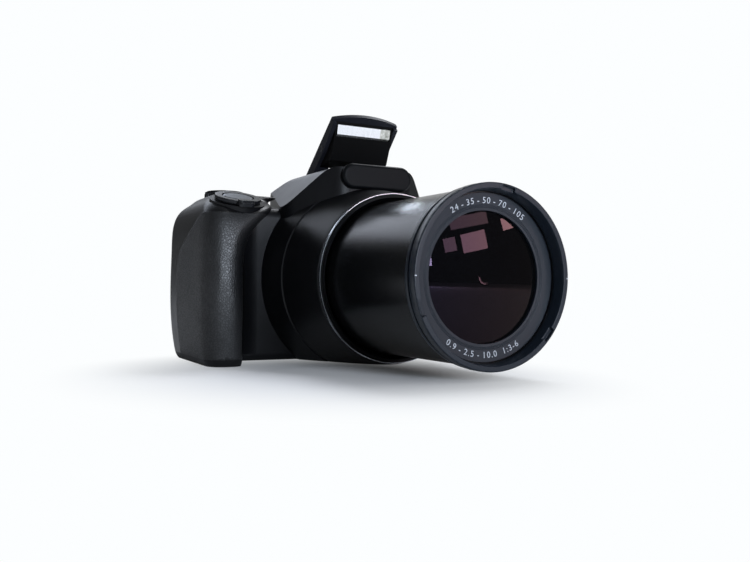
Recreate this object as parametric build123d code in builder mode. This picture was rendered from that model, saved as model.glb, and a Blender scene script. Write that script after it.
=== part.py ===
from build123d import *
import os
from math import cos, sin, radians

os.makedirs("parts", exist_ok=True)

# Bridge camera with its zoom lens run out and its flash raised.
# Millimetres, +Z up, front towards -Y, grip on the -X side.
# The origin lies on the base under the lens axis, level with the tripod socket.

# Housing
lens_height = 33.2
grip_side = 71.2
far_side = 48.0
back_reach = 20.0
face_reach = 18.0
nose_reach = 41.6
deck_height = 61.5
grip_height = 64.4
wall = 1.8
overrun = 1.0
deck_round = 4.5
base_round = 3.0
side_round = 9.0
rear_round = 5.0
cover_seam = 7.0
top_seam = 57.2
base_seam = 2.6

# Grip, as slices from the base up: shares of its height, outer side, nose reach, outer side
# again for its inner edge, and back reach
grip_slice_shares = (
    (-0.006, 0.945, 0.915, 0.79, 0.92),
    (0.018, 0.962, 0.942, 0.787, 0.94),
    (0.07, 0.975, 0.966, 0.788, 0.965),
    (0.28, 0.997, 0.993, 0.79, 0.98),
    (0.528, 1.0, 1.0, 0.79, 0.985),
    (0.683, 0.997, 0.998, 0.785, 0.985),
    (0.776, 0.995, 0.993, 0.75, 0.98),
    (0.839, 0.988, 0.976, 0.688, 0.975),
    (0.893, 0.972, 0.923, 0.625, 0.955),
    (0.936, 0.945, 0.817, 0.59, 0.89),
    (0.972, 0.905, 0.673, 0.569, 0.74),
    (1.0, 0.845, 0.481, 0.562, 0.42),
)
grip_inner_round_share = 0.42
grip_rim_power = 8
grip_rim_share = 1.35
grip_outer_round_share = 0.5
grip_round_width = 15.0
grip_back_round = 12.0
grip_back_taper = 1.6
grip_tail = 38.0
root_inner = 48.5
root_nose = 57.5
root_reach = 38.0
root_round = 9.0
root_height = 55.5
root_width = 5.0
rubber_thick = 0.9
rubber_back = 0.5
rubber_rise = 30.5
rubber_inner = 54.0
rubber_margin = 1.6
rubber_shoulder = 42.0
rubber_round = 9.0

# Hump over the lens
hump_height = 77.2
hump_reach = 37.0
hump_back = 17.0
hump_half = 19.0
hump_foot = 34.0
hump_foot_height = 60.5
hump_skirt = 52.0
hump_tip_half = 15.0
hump_wing_reach = 21.0
hump_tail_half = 24.0
hump_round = 9.0
hump_back_height = 70.0

# Lens base cone and its bright ring
ring_reach = 54.0
ring_radius = 32.5
ring_width = 0.9
cone_lip = 2.0
cone_lip_radius = 33.0
crease_reach = 31.0
crease_radius = 37.2
crease_depth = 0.4
cone_foot_radius = 41.0
bezel_radius = 31.4
bezel_inner = 29.35
bezel_proud = 1.3
bezel_depth = 4.0
bezel_bevel = 1.5
bezel_rim = 0.5
ring_depth = 1.0

# Lens barrel
barrel_radius = 29.0
barrel_wall = 1.6
barrel_front = 111.6
barrel_tail = 41.5
zoom_travel = 46.0
slide_gap = 0.3
tube_wall = 1.5
tube_tail = 6.0
front_radius = 30.2
front_reach = 116.4
rim_lip = 1.9
rim_recess = 5.2
groove_depth = 1.0
groove_width = 1.2
bayonet_count = 3
bayonet_notch = 5.0
name_inner = 21.6
glass_radius = 23.2
glass_edge = 3.2
glass_dome = 1.4
cell_depth = 9.0
cell_bore = 15.0
carriage_front = 72.0
carriage_depth = 12.0
carriage_bore = 12.0
focus_front = 18.0
focus_depth = 5.0
focus_radius = 19.0
focus_bore = 10.0
rod_radius = 1.0
rod_circle = 16.0
rod_gap = 0.05
lens_dome = 1.5
key_count = 3
key_width = 3.0
key_height = 0.5
key_length = 4.0
focus_travel = 3.0
rim_depth = 3.4
rim_edge = 0.25
collar_depth = 1.4
bayonet_depth = 1.2
bayonet_angle = 40.0
name_outer = 27.3
name_slope = 0.4
name_thick = 1.4

# Flash head
hinge_y = 2.0
hinge_height = 73.5
raised_angle = 40.0
closed_angle = 8.0
head_length = 35.0
head_half = 15.0
head_crown = 2.6
skin_top = 3.3
skin = 1.6
arm_inner = 8.9
arm_bottom = 1.5
box_start = 11.0
box_half = 13.2
box_floor = 6.6
box_floor_place = 20.5
window_low_place = 29.2
window_low = 2.1
box_rear_bottom = 0.5
head_gap = 0.3
bay_floor = 69.0
bay_front = 35.2
bay_back = 1.9
bay_wall = 1.4
tongue_reach = 10.2
tongue_drop = 1.0
pin_radius = 1.2
pin_gap = 0.05
tongue_tail = 4.0
bay_side = 0.3
window_high_place = 34.3
window_thick = 1.0
window_lip_share = 0.2
lamp_back_place = 23.0
lamp_back_low = -3.4
lamp_rim = 0.7
lamp_half = 12.2
reflector_wall = 0.5
flash_tube_radius = 0.8
flash_tube_offset = -0.6
spring_start = 3.4
spring_pocket = 1.8
spring_wire = 0.4
spring_pitch = 0.8
spring_turn_count = 5

# Name bar, left bare
bar_half = 15.6
bar_height = 10.0
bar_top = 78.6
bar_depth = 2.2
bar_round_share = 0.6

# Controls
shutter_x = 55.5
shutter_y = 30.0
shutter_height = 61.6
shutter_tilt = 18.0
seat_radius = 10.4
seat_depth = 5.0
shutter_radius = 5.8
shutter_proud = 1.8
shutter_travel = 1.0
lever_radius = 8.6
lever_height = 1.5
lever_lift = 0.3
lever_tab = 3.2
lever_tab_width = 6.0
dial_x = 50.5
dial_y = 0.0
dial_radius = 8.0
dial_height = 3.4
dial_rib_count = 30
dial_rib = 0.35
dial_shaft = 2.0
power_x = 33.0
power_y = 3.0
power_radius = 3.2
button_radius = 2.7
button_proud = 0.9
button_gap = 0.3
button_travel = 0.6
button_stem = 1.6
button_round_share = 0.5
button_x_places = (36.0, 54.5)
button_high = 42.0
button_low = 8.5
pad_x = 45.5
pad_height = 25.0
pad_radius = 9.4
set_radius = 4.2
movie_x = 32.0
movie_height = 51.0
movie_radius = 3.4
thumb_left = 59.0
thumb_right = 40.0
thumb_low = 47.5
thumb_high = 56.5
thumb_sink = 1.2
thumb_proud = 1.0
thumb_round = 3.0
frame_button_length = 7.0
frame_button_width = 4.0
frame_button_y = 42.5
frame_button_face = 36.0
frame_button_heights = (28.0, 38.0)

# Screen
screen_x = 10.5
screen_height = 30.5
screen_width = 64.0
screen_tall = 50.0
screen_round = 2.0
screen_sink = 1.0
glass_thick = 1.3
panel_thick = 2.6
panel_overlap = 1.5
screen_border = 4.0

# Battery bay and base
door_left = 64.5
door_right = 51.5
door_hinge = 50.0
door_nose = 56.5
door_front = 31.0
door_hinge_front = 14.0
door_back = 7.0
door_thick = 1.5
door_lift = 0.15
door_round = 2.0
door_gap = 0.3
door_pin_radius = 0.35
door_pin_seat = 1.5
cell_left = 63.2
cell_thick = 7.0
cell_front = 27.2
cell_wide = 33.6
cell_base = 3.2
cell_tall = 41.0
cell_round_share = 0.2
bay_skin = 0.5
bay_gap = 0.3
bay_base = 1.85
card_left = 54.8
card_thick = 2.1
card_front = 17.5
card_wide = 24.0
card_tall = 32.0
socket_x = 24.0
socket_radius = 5.5
socket_depth = 7.0
thread_radius = 3.175
thread_depth = 5.5

# Far side
side_door_front = 8.0
side_door_back = 4.0
side_door_low = 20.0
side_door_high = 44.0
side_door_thick = 1.15
side_door_border = 2.0
plug_block_depth = 6.0
plug_depth = 4.0
plug_width = 5.0
plug_heights = (27.5, 36.5)
plug_tall = 6.0
lug_x = 63.0
lug_y = 9.0
lug_height = 52.0
lug_tall = 9.0
lug_reach = 3.2
lug_root = 1.5
lug_bar = 1.2
lug_wide = 3.2
lug_back = 18.4

# Inside
frame_left = 60.0
frame_right = 42.0
frame_thick = 1.5
frame_top = 55.6
board_gap = 1.4
board_thick = 1.2
board_left = 38.0
board_low = 6.0
board_high = 54.0
boss_radius = 1.8
key_board_left = 59.0
key_board_right = 26.0
key_gap = 0.7
top_board_right = 28.0
top_board_front = 15.5
sensor_plate_thick = 1.5
sensor_width = 11.0
sensor_tall = 9.0
sensor_thick = 1.2
capacitor_radius = 5.4
capacitor_long = 21.0
capacitor_x = 38.5
capacitor_height = 13.0
motor_radius = 4.6
motor_long = 17.0
motor_x = 38.0
motor_height = 16.0
motor_shaft = 3.0
chip_size = 12.0
chip_thick = 1.2


def save(piece, label):
    """Name a finished piece and write it."""
    piece.part.label = label
    export_step(piece.part, f"parts/{label}.step")


def rounded(plane, corners):
    """A closed face on a plane from corners given as (x, y, radius)."""
    with BuildSketch(plane) as face:
        with BuildLine():
            FilletPolyline(*[(x, y) for x, y, r in corners], radius=[r for x, y, r in corners], close=True)
        make_face()
    return face.sketch


def turned(profile):
    """A solid of revolution about the lens axis from (radius, y) points."""
    with BuildPart() as solid:
        with BuildSketch(Plane.XY.offset(lens_height)):
            with BuildLine():
                Polyline(*profile, close=True)
            make_face()
        revolve(axis=Axis((0, 0, lens_height), (0, 1, 0)))
    return solid.part


def tube(outer, inner, front, back):
    """A plain tube on the lens axis between two depths, y increasing to the back."""
    return turned([(inner, front), (outer, front), (outer, back), (inner, back)])


def disc(radius, front, back):
    """A plain disc on the lens axis."""
    return turned([(0, front), (radius, front), (radius, back), (0, back)])


def lens_element(radius, front, edge, dome):
    """A biconvex glass on the lens axis with spherical faces, its front edge at the given depth."""
    sphere = (radius ** 2 + dome ** 2) / (2 * dome)
    rise = (sphere ** 2 - radius ** 2 / 4) ** 0.5 - sphere + dome
    back = front + edge
    with BuildPart() as glass:
        with BuildSketch(Plane.XY.offset(lens_height)):
            with BuildLine():
                Line((0, front - dome), (0, back + dome))
                ThreePointArc((0, back + dome), (radius / 2, back + rise), (radius, back))
                Line((radius, back), (radius, front))
                ThreePointArc((radius, front), (radius / 2, front - rise), (0, front - dome))
            make_face()
        revolve(axis=Axis((0, 0, lens_height), (0, 1, 0)))
    return glass.part


def slab_between(left, right, front, back, low, high):
    """A box given by its faces."""
    with BuildPart() as box:
        with BuildSketch(Plane.XY.offset(low)):
            with Locations(((left + right) / 2, (front + back) / 2)):
                Rectangle(right - left, back - front)
        extrude(amount=high - low)
    return box.part


# Forms of the housing. Each is drawn in by an inset, so that the inside follows the outside.
def grip_form(inset):
    """The hand grip, lofted through its slices."""
    with BuildPart() as grip:
        for height, outer, nose, inner, back in grip_slice_shares:
            level = inset + height * (grip_height - 2 * inset)
            far = outer * grip_side - inset
            rim = inset * (1 + grip_rim_share * height ** grip_rim_power)
            near = inner * grip_side + rim
            tip = nose * nose_reach - inset
            tail = back * back_reach - inset
            width = min(far - near, grip_round_width)
            corners = [
                (-near, -tip, grip_inner_round_share * width),
                (-far, -tip, grip_outer_round_share * width),
                (grip_back_taper - far, tail, grip_back_round - inset),
                (-grip_tail - rim, tail, overrun),
            ]
            add(rounded(Plane.XY.offset(level), corners))
        loft()
    return grip.part


def body_form(inset):
    """The box of the body with the root of the grip."""
    corners = [
        (far_side - inset, back_reach - inset, rear_round - inset),
        (far_side - inset, inset - face_reach, side_round - inset),
        (inset - root_nose, inset - face_reach, overrun),
        (inset + 2 * grip_back_taper - grip_side, back_reach - inset, grip_back_round - inset),
    ]
    root = [
        (-grip_tail, inset - face_reach, overrun / 2),
        (-root_inner - inset / 2, inset - face_reach, root_round),
        (-root_nose - inset / 2, inset - root_reach, overrun / 2),
        (-root_nose - root_width, inset - root_reach, overrun / 2),
        (-root_nose - root_width, -face_reach / 2, overrun / 2),
        (-grip_tail, -face_reach / 2, overrun / 2),
    ]
    with BuildPart() as body:
        extrude(rounded(Plane.XY.offset(inset), corners), amount=deck_height - 2 * inset)
        fillet(body.faces().sort_by(Axis.Z)[-1].edges(), radius=deck_round - inset)
        fillet(body.faces().sort_by(Axis.Z)[0].edges(), radius=base_round - inset)
        extrude(rounded(Plane.XY.offset(base_round + inset), root), amount=root_height - base_round - 2 * inset)
    return body.part


def hump_form(inset):
    """The raised middle that carries the flash, drawn as front, side and top outlines."""
    top = hump_height - inset
    front_view = [
        (hump_foot - inset, hump_skirt, overrun),
        (hump_foot - inset, hump_foot_height, overrun),
        (hump_half, top, hump_round),
        (-hump_half, top, hump_round),
        (inset - hump_foot, hump_foot_height, overrun),
        (inset - hump_foot, hump_skirt, overrun),
    ]
    side_view = [
        (inset - hump_reach, hump_skirt - overrun, overrun),
        (inset - hump_reach, top, overrun),
        (hump_back / 5, top - overrun, side_round),
        (hump_back - inset, hump_back_height - inset, side_round - overrun),
        (hump_back - inset, hump_skirt - overrun, overrun),
    ]
    top_view = [
        (hump_tip_half - inset / 2, inset - hump_reach, side_round - overrun),
        (hump_foot - inset, inset - hump_wing_reach, side_round - overrun),
        (hump_tail_half - inset, hump_back, overrun),
        (inset - hump_tail_half, hump_back, overrun),
        (inset - hump_foot, inset - hump_wing_reach, side_round - overrun),
        (inset / 2 - hump_tip_half, inset - hump_reach, side_round - overrun),
    ]
    with BuildPart() as hump:
        extrude(rounded(Plane.XZ, front_view), amount=2 * hump_reach, both=True)
        extrude(rounded(Plane.YZ, side_view), amount=2 * hump_foot, both=True, mode=Mode.INTERSECT)
        extrude(rounded(Plane.XY, top_view), amount=2 * hump_height, mode=Mode.INTERSECT)
    return hump.part


def cone_form(inset):
    """The flared base of the lens, with the crease where it leaves the body."""
    return turned([
        (0, inset - ring_reach),
        (ring_radius - inset, inset - ring_reach),
        (cone_lip_radius - inset, cone_lip - ring_reach),
        (crease_radius - inset, -crease_reach),
        (crease_radius - inset - crease_depth, crease_depth - crease_reach),
        (crease_radius - inset + crease_depth, 2 * crease_depth - crease_reach),
        (cone_foot_radius - inset, -face_reach),
        (cone_foot_radius - inset, -face_reach / 2),
        (0, -face_reach / 2),
    ])


def housing_form(inset):
    """The whole housing as one solid, cut flat at the base."""
    with BuildPart() as housing:
        add(body_form(inset))
        add(grip_form(inset))
        add(hump_form(inset))
        add(cone_form(inset))
        split(bisect_by=Plane.XY.offset(inset), keep=Keep.TOP)
    return housing.part



outer_form = housing_form(0)
inner_form = housing_form(wall)
far = 3 * front_reach


def lens_plane(y):
    """A plane square to the lens axis whose normal points to the back."""
    return Plane(origin=(0, y, lens_height), x_dir=(1, 0, 0), z_dir=(0, 1, 0))


def rear_plane(x, height, y):
    """A plane facing the back of the camera at a point of the rear face."""
    return Plane(origin=(x, y, height), x_dir=(-1, 0, 0), z_dir=(0, 1, 0))


# The tilted deck round the shutter button, a disc set into the top of the grip
shutter_deck = Plane(
    origin=(-shutter_x, -shutter_y, shutter_height),
    x_dir=(1, 0, 0),
    z_dir=(0, -sin(radians(shutter_tilt)), cos(radians(shutter_tilt))),
)
with BuildPart() as seat:
    with BuildSketch(shutter_deck):
        Circle(seat_radius)
    extrude(amount=-seat_depth)
with BuildPart() as seat_clear:
    with BuildSketch(shutter_deck):
        Circle(seat_radius)
    extrude(amount=seat_depth)

# Regions that divide the shell into its covers
cone_outer = cone_form(0)
with BuildPart() as top_region:
    add(slab_between(-far, far, -far, far, top_seam, far))
    add(cone_outer, mode=Mode.SUBTRACT)
with BuildPart() as base_region:
    add(slab_between(-far, far, -far, far, -far, base_seam))
    add(cone_outer, mode=Mode.SUBTRACT)
with BuildPart() as shell:
    add(outer_form)
    add(inner_form, mode=Mode.SUBTRACT)

# The rubber wraps the front of the grip and stops short of the hard strip on its side and top
rubber_top = top_seam - rubber_margin / 2
rubber_side_view = [
    (-2 * nose_reach, base_seam, overrun),
    (-rubber_back, base_seam, overrun),
    (-rubber_back, rubber_shoulder, rubber_round),
    (-rubber_back - rubber_rise, rubber_top, overrun),
    (-2 * nose_reach, rubber_top, overrun),
]
rubber_front_view = [
    (-rubber_inner, 0, overrun),
    (-2 * grip_side, 0, overrun),
    (-2 * grip_side, top_seam, overrun),
    (-grip_tail, top_seam, overrun),
    (-rubber_inner, rubber_shoulder, rubber_round),
]
with BuildPart() as grip_rubber:
    extrude(rounded(Plane.YZ, rubber_side_view), amount=-far)
    extrude(rounded(Plane.XZ, rubber_front_view), amount=far, mode=Mode.INTERSECT)
    add(grip_form(0), mode=Mode.INTERSECT)
    add(grip_form(rubber_thick), mode=Mode.SUBTRACT)
    add(seat.part, mode=Mode.SUBTRACT)
save(grip_rubber, "grip_rubber")

# Name bar on the front of the hump, bare
with BuildPart() as name_bar:
    with BuildSketch(Plane.XZ.offset(hump_reach)):
        with Locations((0, bar_top - bar_height / 2)):
            SlotOverall(2 * bar_half, bar_height)
    extrude(amount=bar_depth)
    fillet(name_bar.faces().sort_by(Axis.Y)[0].edges(), radius=bar_depth * bar_round_share)
save(name_bar, "name_bar")

# Front cover with the lens cone, the framing buttons' slots and the seat of the side door
side_door_face = far_side - side_door_thick
with BuildPart() as front_cover:
    add(shell.part)
    add(slab_between(-far, far, -far, cover_seam, -far, far), mode=Mode.INTERSECT)
    add(top_region.part, mode=Mode.SUBTRACT)
    add(base_region.part, mode=Mode.SUBTRACT)
    add(seat.part, mode=Mode.SUBTRACT)
    add(grip_rubber.part, mode=Mode.SUBTRACT)
    add(name_bar.part, mode=Mode.SUBTRACT)
    add(disc(bezel_radius, -far, -ring_reach + bezel_depth), mode=Mode.SUBTRACT)
    add(tube(far, bezel_radius, -far, ring_depth - ring_reach), mode=Mode.SUBTRACT)
    for height in frame_button_heights:
        with BuildSketch(Plane(origin=(0, -frame_button_y, height), x_dir=(0, 1, 0), z_dir=(1, 0, 0))):
            SlotOverall(frame_button_length + 2 * button_gap, frame_button_width + 2 * button_gap)
        extrude(amount=far_side, mode=Mode.SUBTRACT)
    add(slab_between(
        side_door_face - door_gap, far_side + overrun,
        -side_door_front - door_gap, side_door_back + door_gap,
        side_door_low - door_gap, side_door_high + door_gap,
    ), mode=Mode.SUBTRACT)
    add(slab_between(
        far_side - 2 * wall, far_side,
        side_door_border - side_door_front, side_door_back - side_door_border,
        side_door_low + side_door_border, side_door_high - side_door_border,
    ), mode=Mode.SUBTRACT)
save(front_cover, "front_cover")


# Strap eyes, each a staple rooted in the rear cover
def strap_eye(plane):
    """A staple standing on a plane, its slot open from both sides."""
    with BuildPart() as eye:
        with BuildSketch(plane.offset(-lug_root)):
            Rectangle(lug_wide, lug_tall)
        extrude(amount=lug_root + lug_reach)
        with BuildSketch(plane):
            Rectangle(lug_wide + overrun, lug_tall - 2 * lug_bar)
        extrude(amount=lug_reach - lug_bar, mode=Mode.SUBTRACT)
    return eye


strap_eye_far = strap_eye(Plane(origin=(far_side, lug_y, lug_height), x_dir=(0, 1, 0), z_dir=(1, 0, 0)))
save(strap_eye_far, "strap_eye_far")
strap_eye_grip = strap_eye(Plane(origin=(-lug_x, lug_back, lug_height), x_dir=(-1, 0, 0), z_dir=(0, 1, 0)))
save(strap_eye_grip, "strap_eye_grip")

# Rear cover with the screen rebate, the button holes and the thumb pad's seat


def screen_outline(gap):
    """The corners of the screen glass, drawn in by a gap."""
    half = screen_width / 2 - gap
    rise = screen_tall / 2 - gap
    return [
        (screen_x + half, screen_height - rise, screen_round),
        (screen_x + half, screen_height + rise, screen_round),
        (screen_x - half, screen_height + rise, screen_round),
        (screen_x - half, screen_height - rise, screen_round),
    ]


rear_buttons = [
    ("playback_button", button_x_places[1], button_high, button_radius),
    ("wireless_button", button_x_places[0], button_high, button_radius),
    ("display_button", button_x_places[1], button_low, button_radius),
    ("menu_button", button_x_places[0], button_low, button_radius),
    ("movie_button", movie_x, movie_height, movie_radius),
    ("four_way_pad", pad_x, pad_height, pad_radius),
]
thumb_corners = [
    (-thumb_left, thumb_low, thumb_round),
    (-thumb_right, thumb_low, thumb_round),
    (-thumb_right, thumb_high, thumb_round),
    (-thumb_left, thumb_high, thumb_round),
]
screen_back = back_reach - screen_sink
with BuildPart() as rear_cover:
    add(shell.part)
    add(slab_between(-far, far, cover_seam, far, -far, far), mode=Mode.INTERSECT)
    add(top_region.part, mode=Mode.SUBTRACT)
    add(base_region.part, mode=Mode.SUBTRACT)
    extrude(rounded(Plane.XZ.offset(-screen_back), screen_outline(0)), amount=-wall, mode=Mode.SUBTRACT)
    with BuildSketch(rear_plane(screen_x, screen_height, cover_seam)):
        Rectangle(screen_width - 2 * screen_border, screen_tall - 2 * screen_border)
    extrude(amount=back_reach, mode=Mode.SUBTRACT)
    for name, x, height, radius in rear_buttons:
        with BuildSketch(rear_plane(-x, height, cover_seam)):
            Circle(radius + button_gap)
        extrude(amount=back_reach, mode=Mode.SUBTRACT)
    extrude(rounded(Plane.XZ.offset(thumb_sink - back_reach), thumb_corners), amount=-wall, mode=Mode.SUBTRACT)
    add(strap_eye_far.part, mode=Mode.SUBTRACT)
    add(strap_eye_grip.part, mode=Mode.SUBTRACT)
save(rear_cover, "rear_cover")

# Top cover with the flash bay, the tongue between the flash arms and the shutter deck
hinge = (0, -hinge_y, hinge_height)


def head_plane(angle):
    """A side plane at the hinge: x runs along the flash head, y out of its top."""
    return Plane(
        origin=hinge,
        x_dir=(0, -cos(radians(angle)), sin(radians(angle))),
        z_dir=(-1, 0, 0),
    )


closed = head_plane(closed_angle)
raised = head_plane(raised_angle)
tongue_profile = [
    (-tongue_tail, bay_floor - hinge_height - bay_wall),
    (tongue_reach, bay_floor - hinge_height - bay_wall),
    (tongue_reach, skin_top - tongue_drop),
    (-tongue_tail, skin_top - tongue_drop),
]
bay_half = head_half + head_gap + bay_side
with BuildPart() as top_cover:
    add(shell.part)
    add(slab_between(
        -bay_half - bay_wall, bay_half + bay_wall, -hump_reach + wall / 2, bay_back + bay_wall,
        bay_floor - bay_wall, hump_height - wall,
    ))
    add(slab_between(-bay_half, bay_half, -bay_front, bay_back, bay_floor, far), mode=Mode.SUBTRACT)
    with BuildSketch(closed):
        with BuildLine():
            Polyline(*tongue_profile, close=True)
        make_face()
    extrude(amount=arm_inner - head_gap, both=True)
    add(outer_form, mode=Mode.INTERSECT)
    add(top_region.part, mode=Mode.INTERSECT)
    add(seat_clear.part, mode=Mode.SUBTRACT)
    add(seat.part)
    with BuildSketch(shutter_deck):
        Circle(shutter_radius + button_gap)
    extrude(amount=-seat_depth - overrun, mode=Mode.SUBTRACT)
    with BuildSketch(Plane.XY.offset(top_seam)):
        with Locations((-dial_x, -dial_y)):
            Circle(dial_shaft + pin_gap)
        with Locations((-power_x, -power_y)):
            Circle(power_radius + button_gap)
    extrude(amount=far, mode=Mode.SUBTRACT)
    with BuildSketch(Plane(origin=hinge, x_dir=(0, 1, 0), z_dir=(1, 0, 0))):
        Circle(pin_radius)
    extrude(amount=head_half + head_gap, both=True, mode=Mode.SUBTRACT)
    with BuildSketch(Plane(origin=(spring_start, -hinge_y, hinge_height), x_dir=(0, 1, 0), z_dir=(1, 0, 0))):
        Circle(spring_pocket)
    extrude(amount=arm_inner - spring_start, mode=Mode.SUBTRACT)
save(top_cover, "top_cover")

# Bottom cover with the door opening and the tripod socket's hole
door_outline = [
    (-door_left, -door_front, door_round),
    (-door_nose, -door_front, door_round),
    (-door_right, -door_hinge_front - door_round, door_round),
    (-door_right, door_back, door_round / 2),
    (-door_left, door_back, door_round),
]
door_mid = door_lift + door_thick / 2
edge_front = door_gap - door_hinge_front
edge_back = door_back - door_gap
pin_front = -door_hinge_front - door_pin_seat
pin_back = door_back + door_pin_seat


def along_hinge(y):
    """A plane square to the hinge line of the battery door."""
    return Plane(origin=(-door_hinge, y, door_mid), x_dir=(1, 0, 0), z_dir=(0, 1, 0))


with BuildPart() as bottom_cover:
    add(shell.part)
    split(bisect_by=Plane.XY.offset(base_seam), keep=Keep.BOTTOM)
    add(cone_outer, mode=Mode.SUBTRACT)
    with BuildSketch():
        add(rounded(Plane.XY, door_outline))
        offset(amount=door_gap)
    extrude(amount=far, both=True, mode=Mode.SUBTRACT)
    add(slab_between(
        -door_right, door_thick / 2 + door_gap - door_hinge,
        -door_hinge_front, door_back, -overrun, far,
    ), mode=Mode.SUBTRACT)
    with BuildSketch():
        with Locations((socket_x, 0)):
            Circle(socket_radius)
    extrude(amount=far, both=True, mode=Mode.SUBTRACT)
    with BuildSketch(along_hinge(pin_front)):
        Circle(door_pin_radius)
    extrude(amount=pin_back - pin_front, mode=Mode.SUBTRACT)
save(bottom_cover, "bottom_cover")

# Battery door, its hinge edge rounded over a pin that the bottom cover carries at both ends
with BuildPart() as battery_door:
    extrude(rounded(Plane.XY.offset(door_lift), door_outline), amount=door_thick)
    add(slab_between(-door_right - door_round, -door_hinge, edge_front, edge_back, door_lift, door_lift + door_thick))
    with BuildSketch(along_hinge(edge_front)):
        Circle(door_thick / 2)
    extrude(amount=edge_back - edge_front)
    with BuildSketch(along_hinge(pin_front)):
        Circle(door_pin_radius + pin_gap)
    extrude(amount=pin_back - pin_front, mode=Mode.SUBTRACT)
save(battery_door, "battery_door")

with BuildPart() as door_pin:
    with BuildSketch(along_hinge(pin_front)):
        Circle(door_pin_radius)
    extrude(amount=pin_back - pin_front)
save(door_pin, "door_pin")

# Battery, card and the box that guides them
with BuildPart() as battery:
    with BuildSketch(Plane.XY.offset(cell_base)):
        with Locations((-cell_left + cell_thick / 2, cell_wide / 2 - cell_front)):
            RectangleRounded(cell_thick, cell_wide, cell_thick * cell_round_share)
    extrude(amount=cell_tall)
save(battery, "battery")

with BuildPart() as memory_card:
    card_high = cell_base + card_tall
    card_corner = card_wide / 6
    with BuildSketch(Plane.YZ.offset(-card_left)):
        with BuildLine():
            Polyline(
                (-card_front, cell_base),
                (card_wide - card_front, cell_base),
                (card_wide - card_front, card_high),
                (card_corner - card_front, card_high),
                (-card_front, card_high - card_corner),
                close=True,
            )
        make_face()
    extrude(amount=card_thick)
save(memory_card, "memory_card")

box_left = -cell_left - bay_gap - bay_skin
box_step = -cell_left + cell_thick + bay_gap + bay_skin
card_right = card_thick - card_left
with BuildPart() as battery_box:
    add(slab_between(
        box_left, box_step, -cell_front - bay_gap - bay_skin, door_back,
        bay_base, cell_base + cell_tall + bay_gap + bay_skin,
    ))
    add(slab_between(
        box_step, card_right + bay_gap + bay_skin, -card_front - bay_gap - bay_skin, door_back,
        bay_base, cell_base + card_tall + bay_gap + bay_skin,
    ))
    add(slab_between(
        -cell_left - bay_gap, -cell_left + cell_thick + bay_gap,
        -cell_front - bay_gap, cell_wide - cell_front + bay_gap,
        0, cell_base + cell_tall + bay_gap,
    ), mode=Mode.SUBTRACT)
    add(slab_between(
        -card_left - bay_gap, card_right + bay_gap,
        -card_front - bay_gap, card_wide - card_front + bay_gap,
        0, cell_base + card_tall + bay_gap,
    ), mode=Mode.SUBTRACT)
save(battery_box, "battery_box")

# Tripod socket, a threaded metal bush
with BuildPart() as tripod_socket:
    with BuildSketch():
        with Locations((socket_x, 0)):
            Circle(socket_radius)
    extrude(amount=socket_depth)
    with BuildSketch():
        with Locations((socket_x, 0)):
            Circle(thread_radius)
    extrude(amount=thread_depth, mode=Mode.SUBTRACT)
save(tripod_socket, "tripod_socket")

# Bright ring and bezel at the mouth of the lens cone
with BuildPart() as chrome_ring:
    add(tube(ring_radius, bezel_radius, -ring_reach - ring_width / 2, ring_depth - ring_reach))
save(chrome_ring, "chrome_ring")

with BuildPart() as lens_bezel:
    add(turned([
        (bezel_inner, bezel_depth - ring_reach),
        (bezel_inner, bezel_bevel - ring_reach),
        (bezel_radius - bezel_rim, -ring_reach - bezel_proud),
        (bezel_radius, -ring_reach - bezel_proud),
        (bezel_radius, bezel_depth - ring_reach),
    ]))
save(lens_bezel, "lens_bezel")

# Fixed tube that the barrel slides in, with a groove for each guide key
tube_front = bezel_depth - ring_reach
tube_inner = barrel_radius + slide_gap
with BuildPart() as lens_tube:
    add(tube(tube_inner + tube_wall, tube_inner, tube_front, tube_tail))
    with BuildSketch(lens_plane(tube_front)):
        with PolarLocations(tube_inner, key_count):
            Rectangle(2 * key_height, key_width + 2 * slide_gap)
    extrude(amount=tube_tail - tube_front, mode=Mode.SUBTRACT)
save(lens_tube, "lens_tube")

# Outer barrel with its guide keys
with BuildPart() as outer_barrel:
    add(tube(barrel_radius, barrel_radius - barrel_wall, -barrel_front, -barrel_tail))
    with BuildSketch(lens_plane(-barrel_tail - key_length)):
        with PolarLocations(barrel_radius - barrel_wall / 2, key_count):
            Rectangle(barrel_wall + 2 * key_height, key_width)
    extrude(amount=key_length)
    add(disc(barrel_radius - barrel_wall, -barrel_front, -barrel_tail), mode=Mode.SUBTRACT)
save(outer_barrel, "outer_barrel")

# Front ring: a rim with its lip, a groove for bayonet accessories and a collar over the barrel
rim_inner = front_radius - rim_lip
recess_inner = barrel_radius - barrel_wall + groove_depth / 4
rim_back = -front_reach + rim_depth
with BuildPart() as front_ring:
    add(turned([
        (rim_inner, -front_reach),
        (front_radius - rim_edge, -front_reach),
        (front_radius, -front_reach + rim_edge),
        (front_radius, rim_back),
        (front_radius - groove_depth, rim_back),
        (front_radius - groove_depth, rim_back + groove_width),
        (front_radius - rim_edge, rim_back + groove_width),
        (front_radius - rim_edge, -barrel_front + collar_depth),
        (barrel_radius, -barrel_front + collar_depth),
        (barrel_radius, -barrel_front),
        (recess_inner, -barrel_front),
    ]))
    with BuildSketch(lens_plane(-front_reach)):
        with PolarLocations(rim_inner, bayonet_count, start_angle=bayonet_angle):
            Rectangle(2 * bayonet_depth, bayonet_notch)
    extrude(amount=bayonet_depth, mode=Mode.SUBTRACT)
save(front_ring, "front_ring")

name_front = rim_recess - front_reach
with BuildPart() as name_ring:
    add(turned([
        (name_inner, name_front + name_slope),
        (name_outer, name_front),
        (name_outer, name_front + name_thick),
        (name_inner, name_front + name_thick),
    ]))
save(name_ring, "name_ring")

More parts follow.
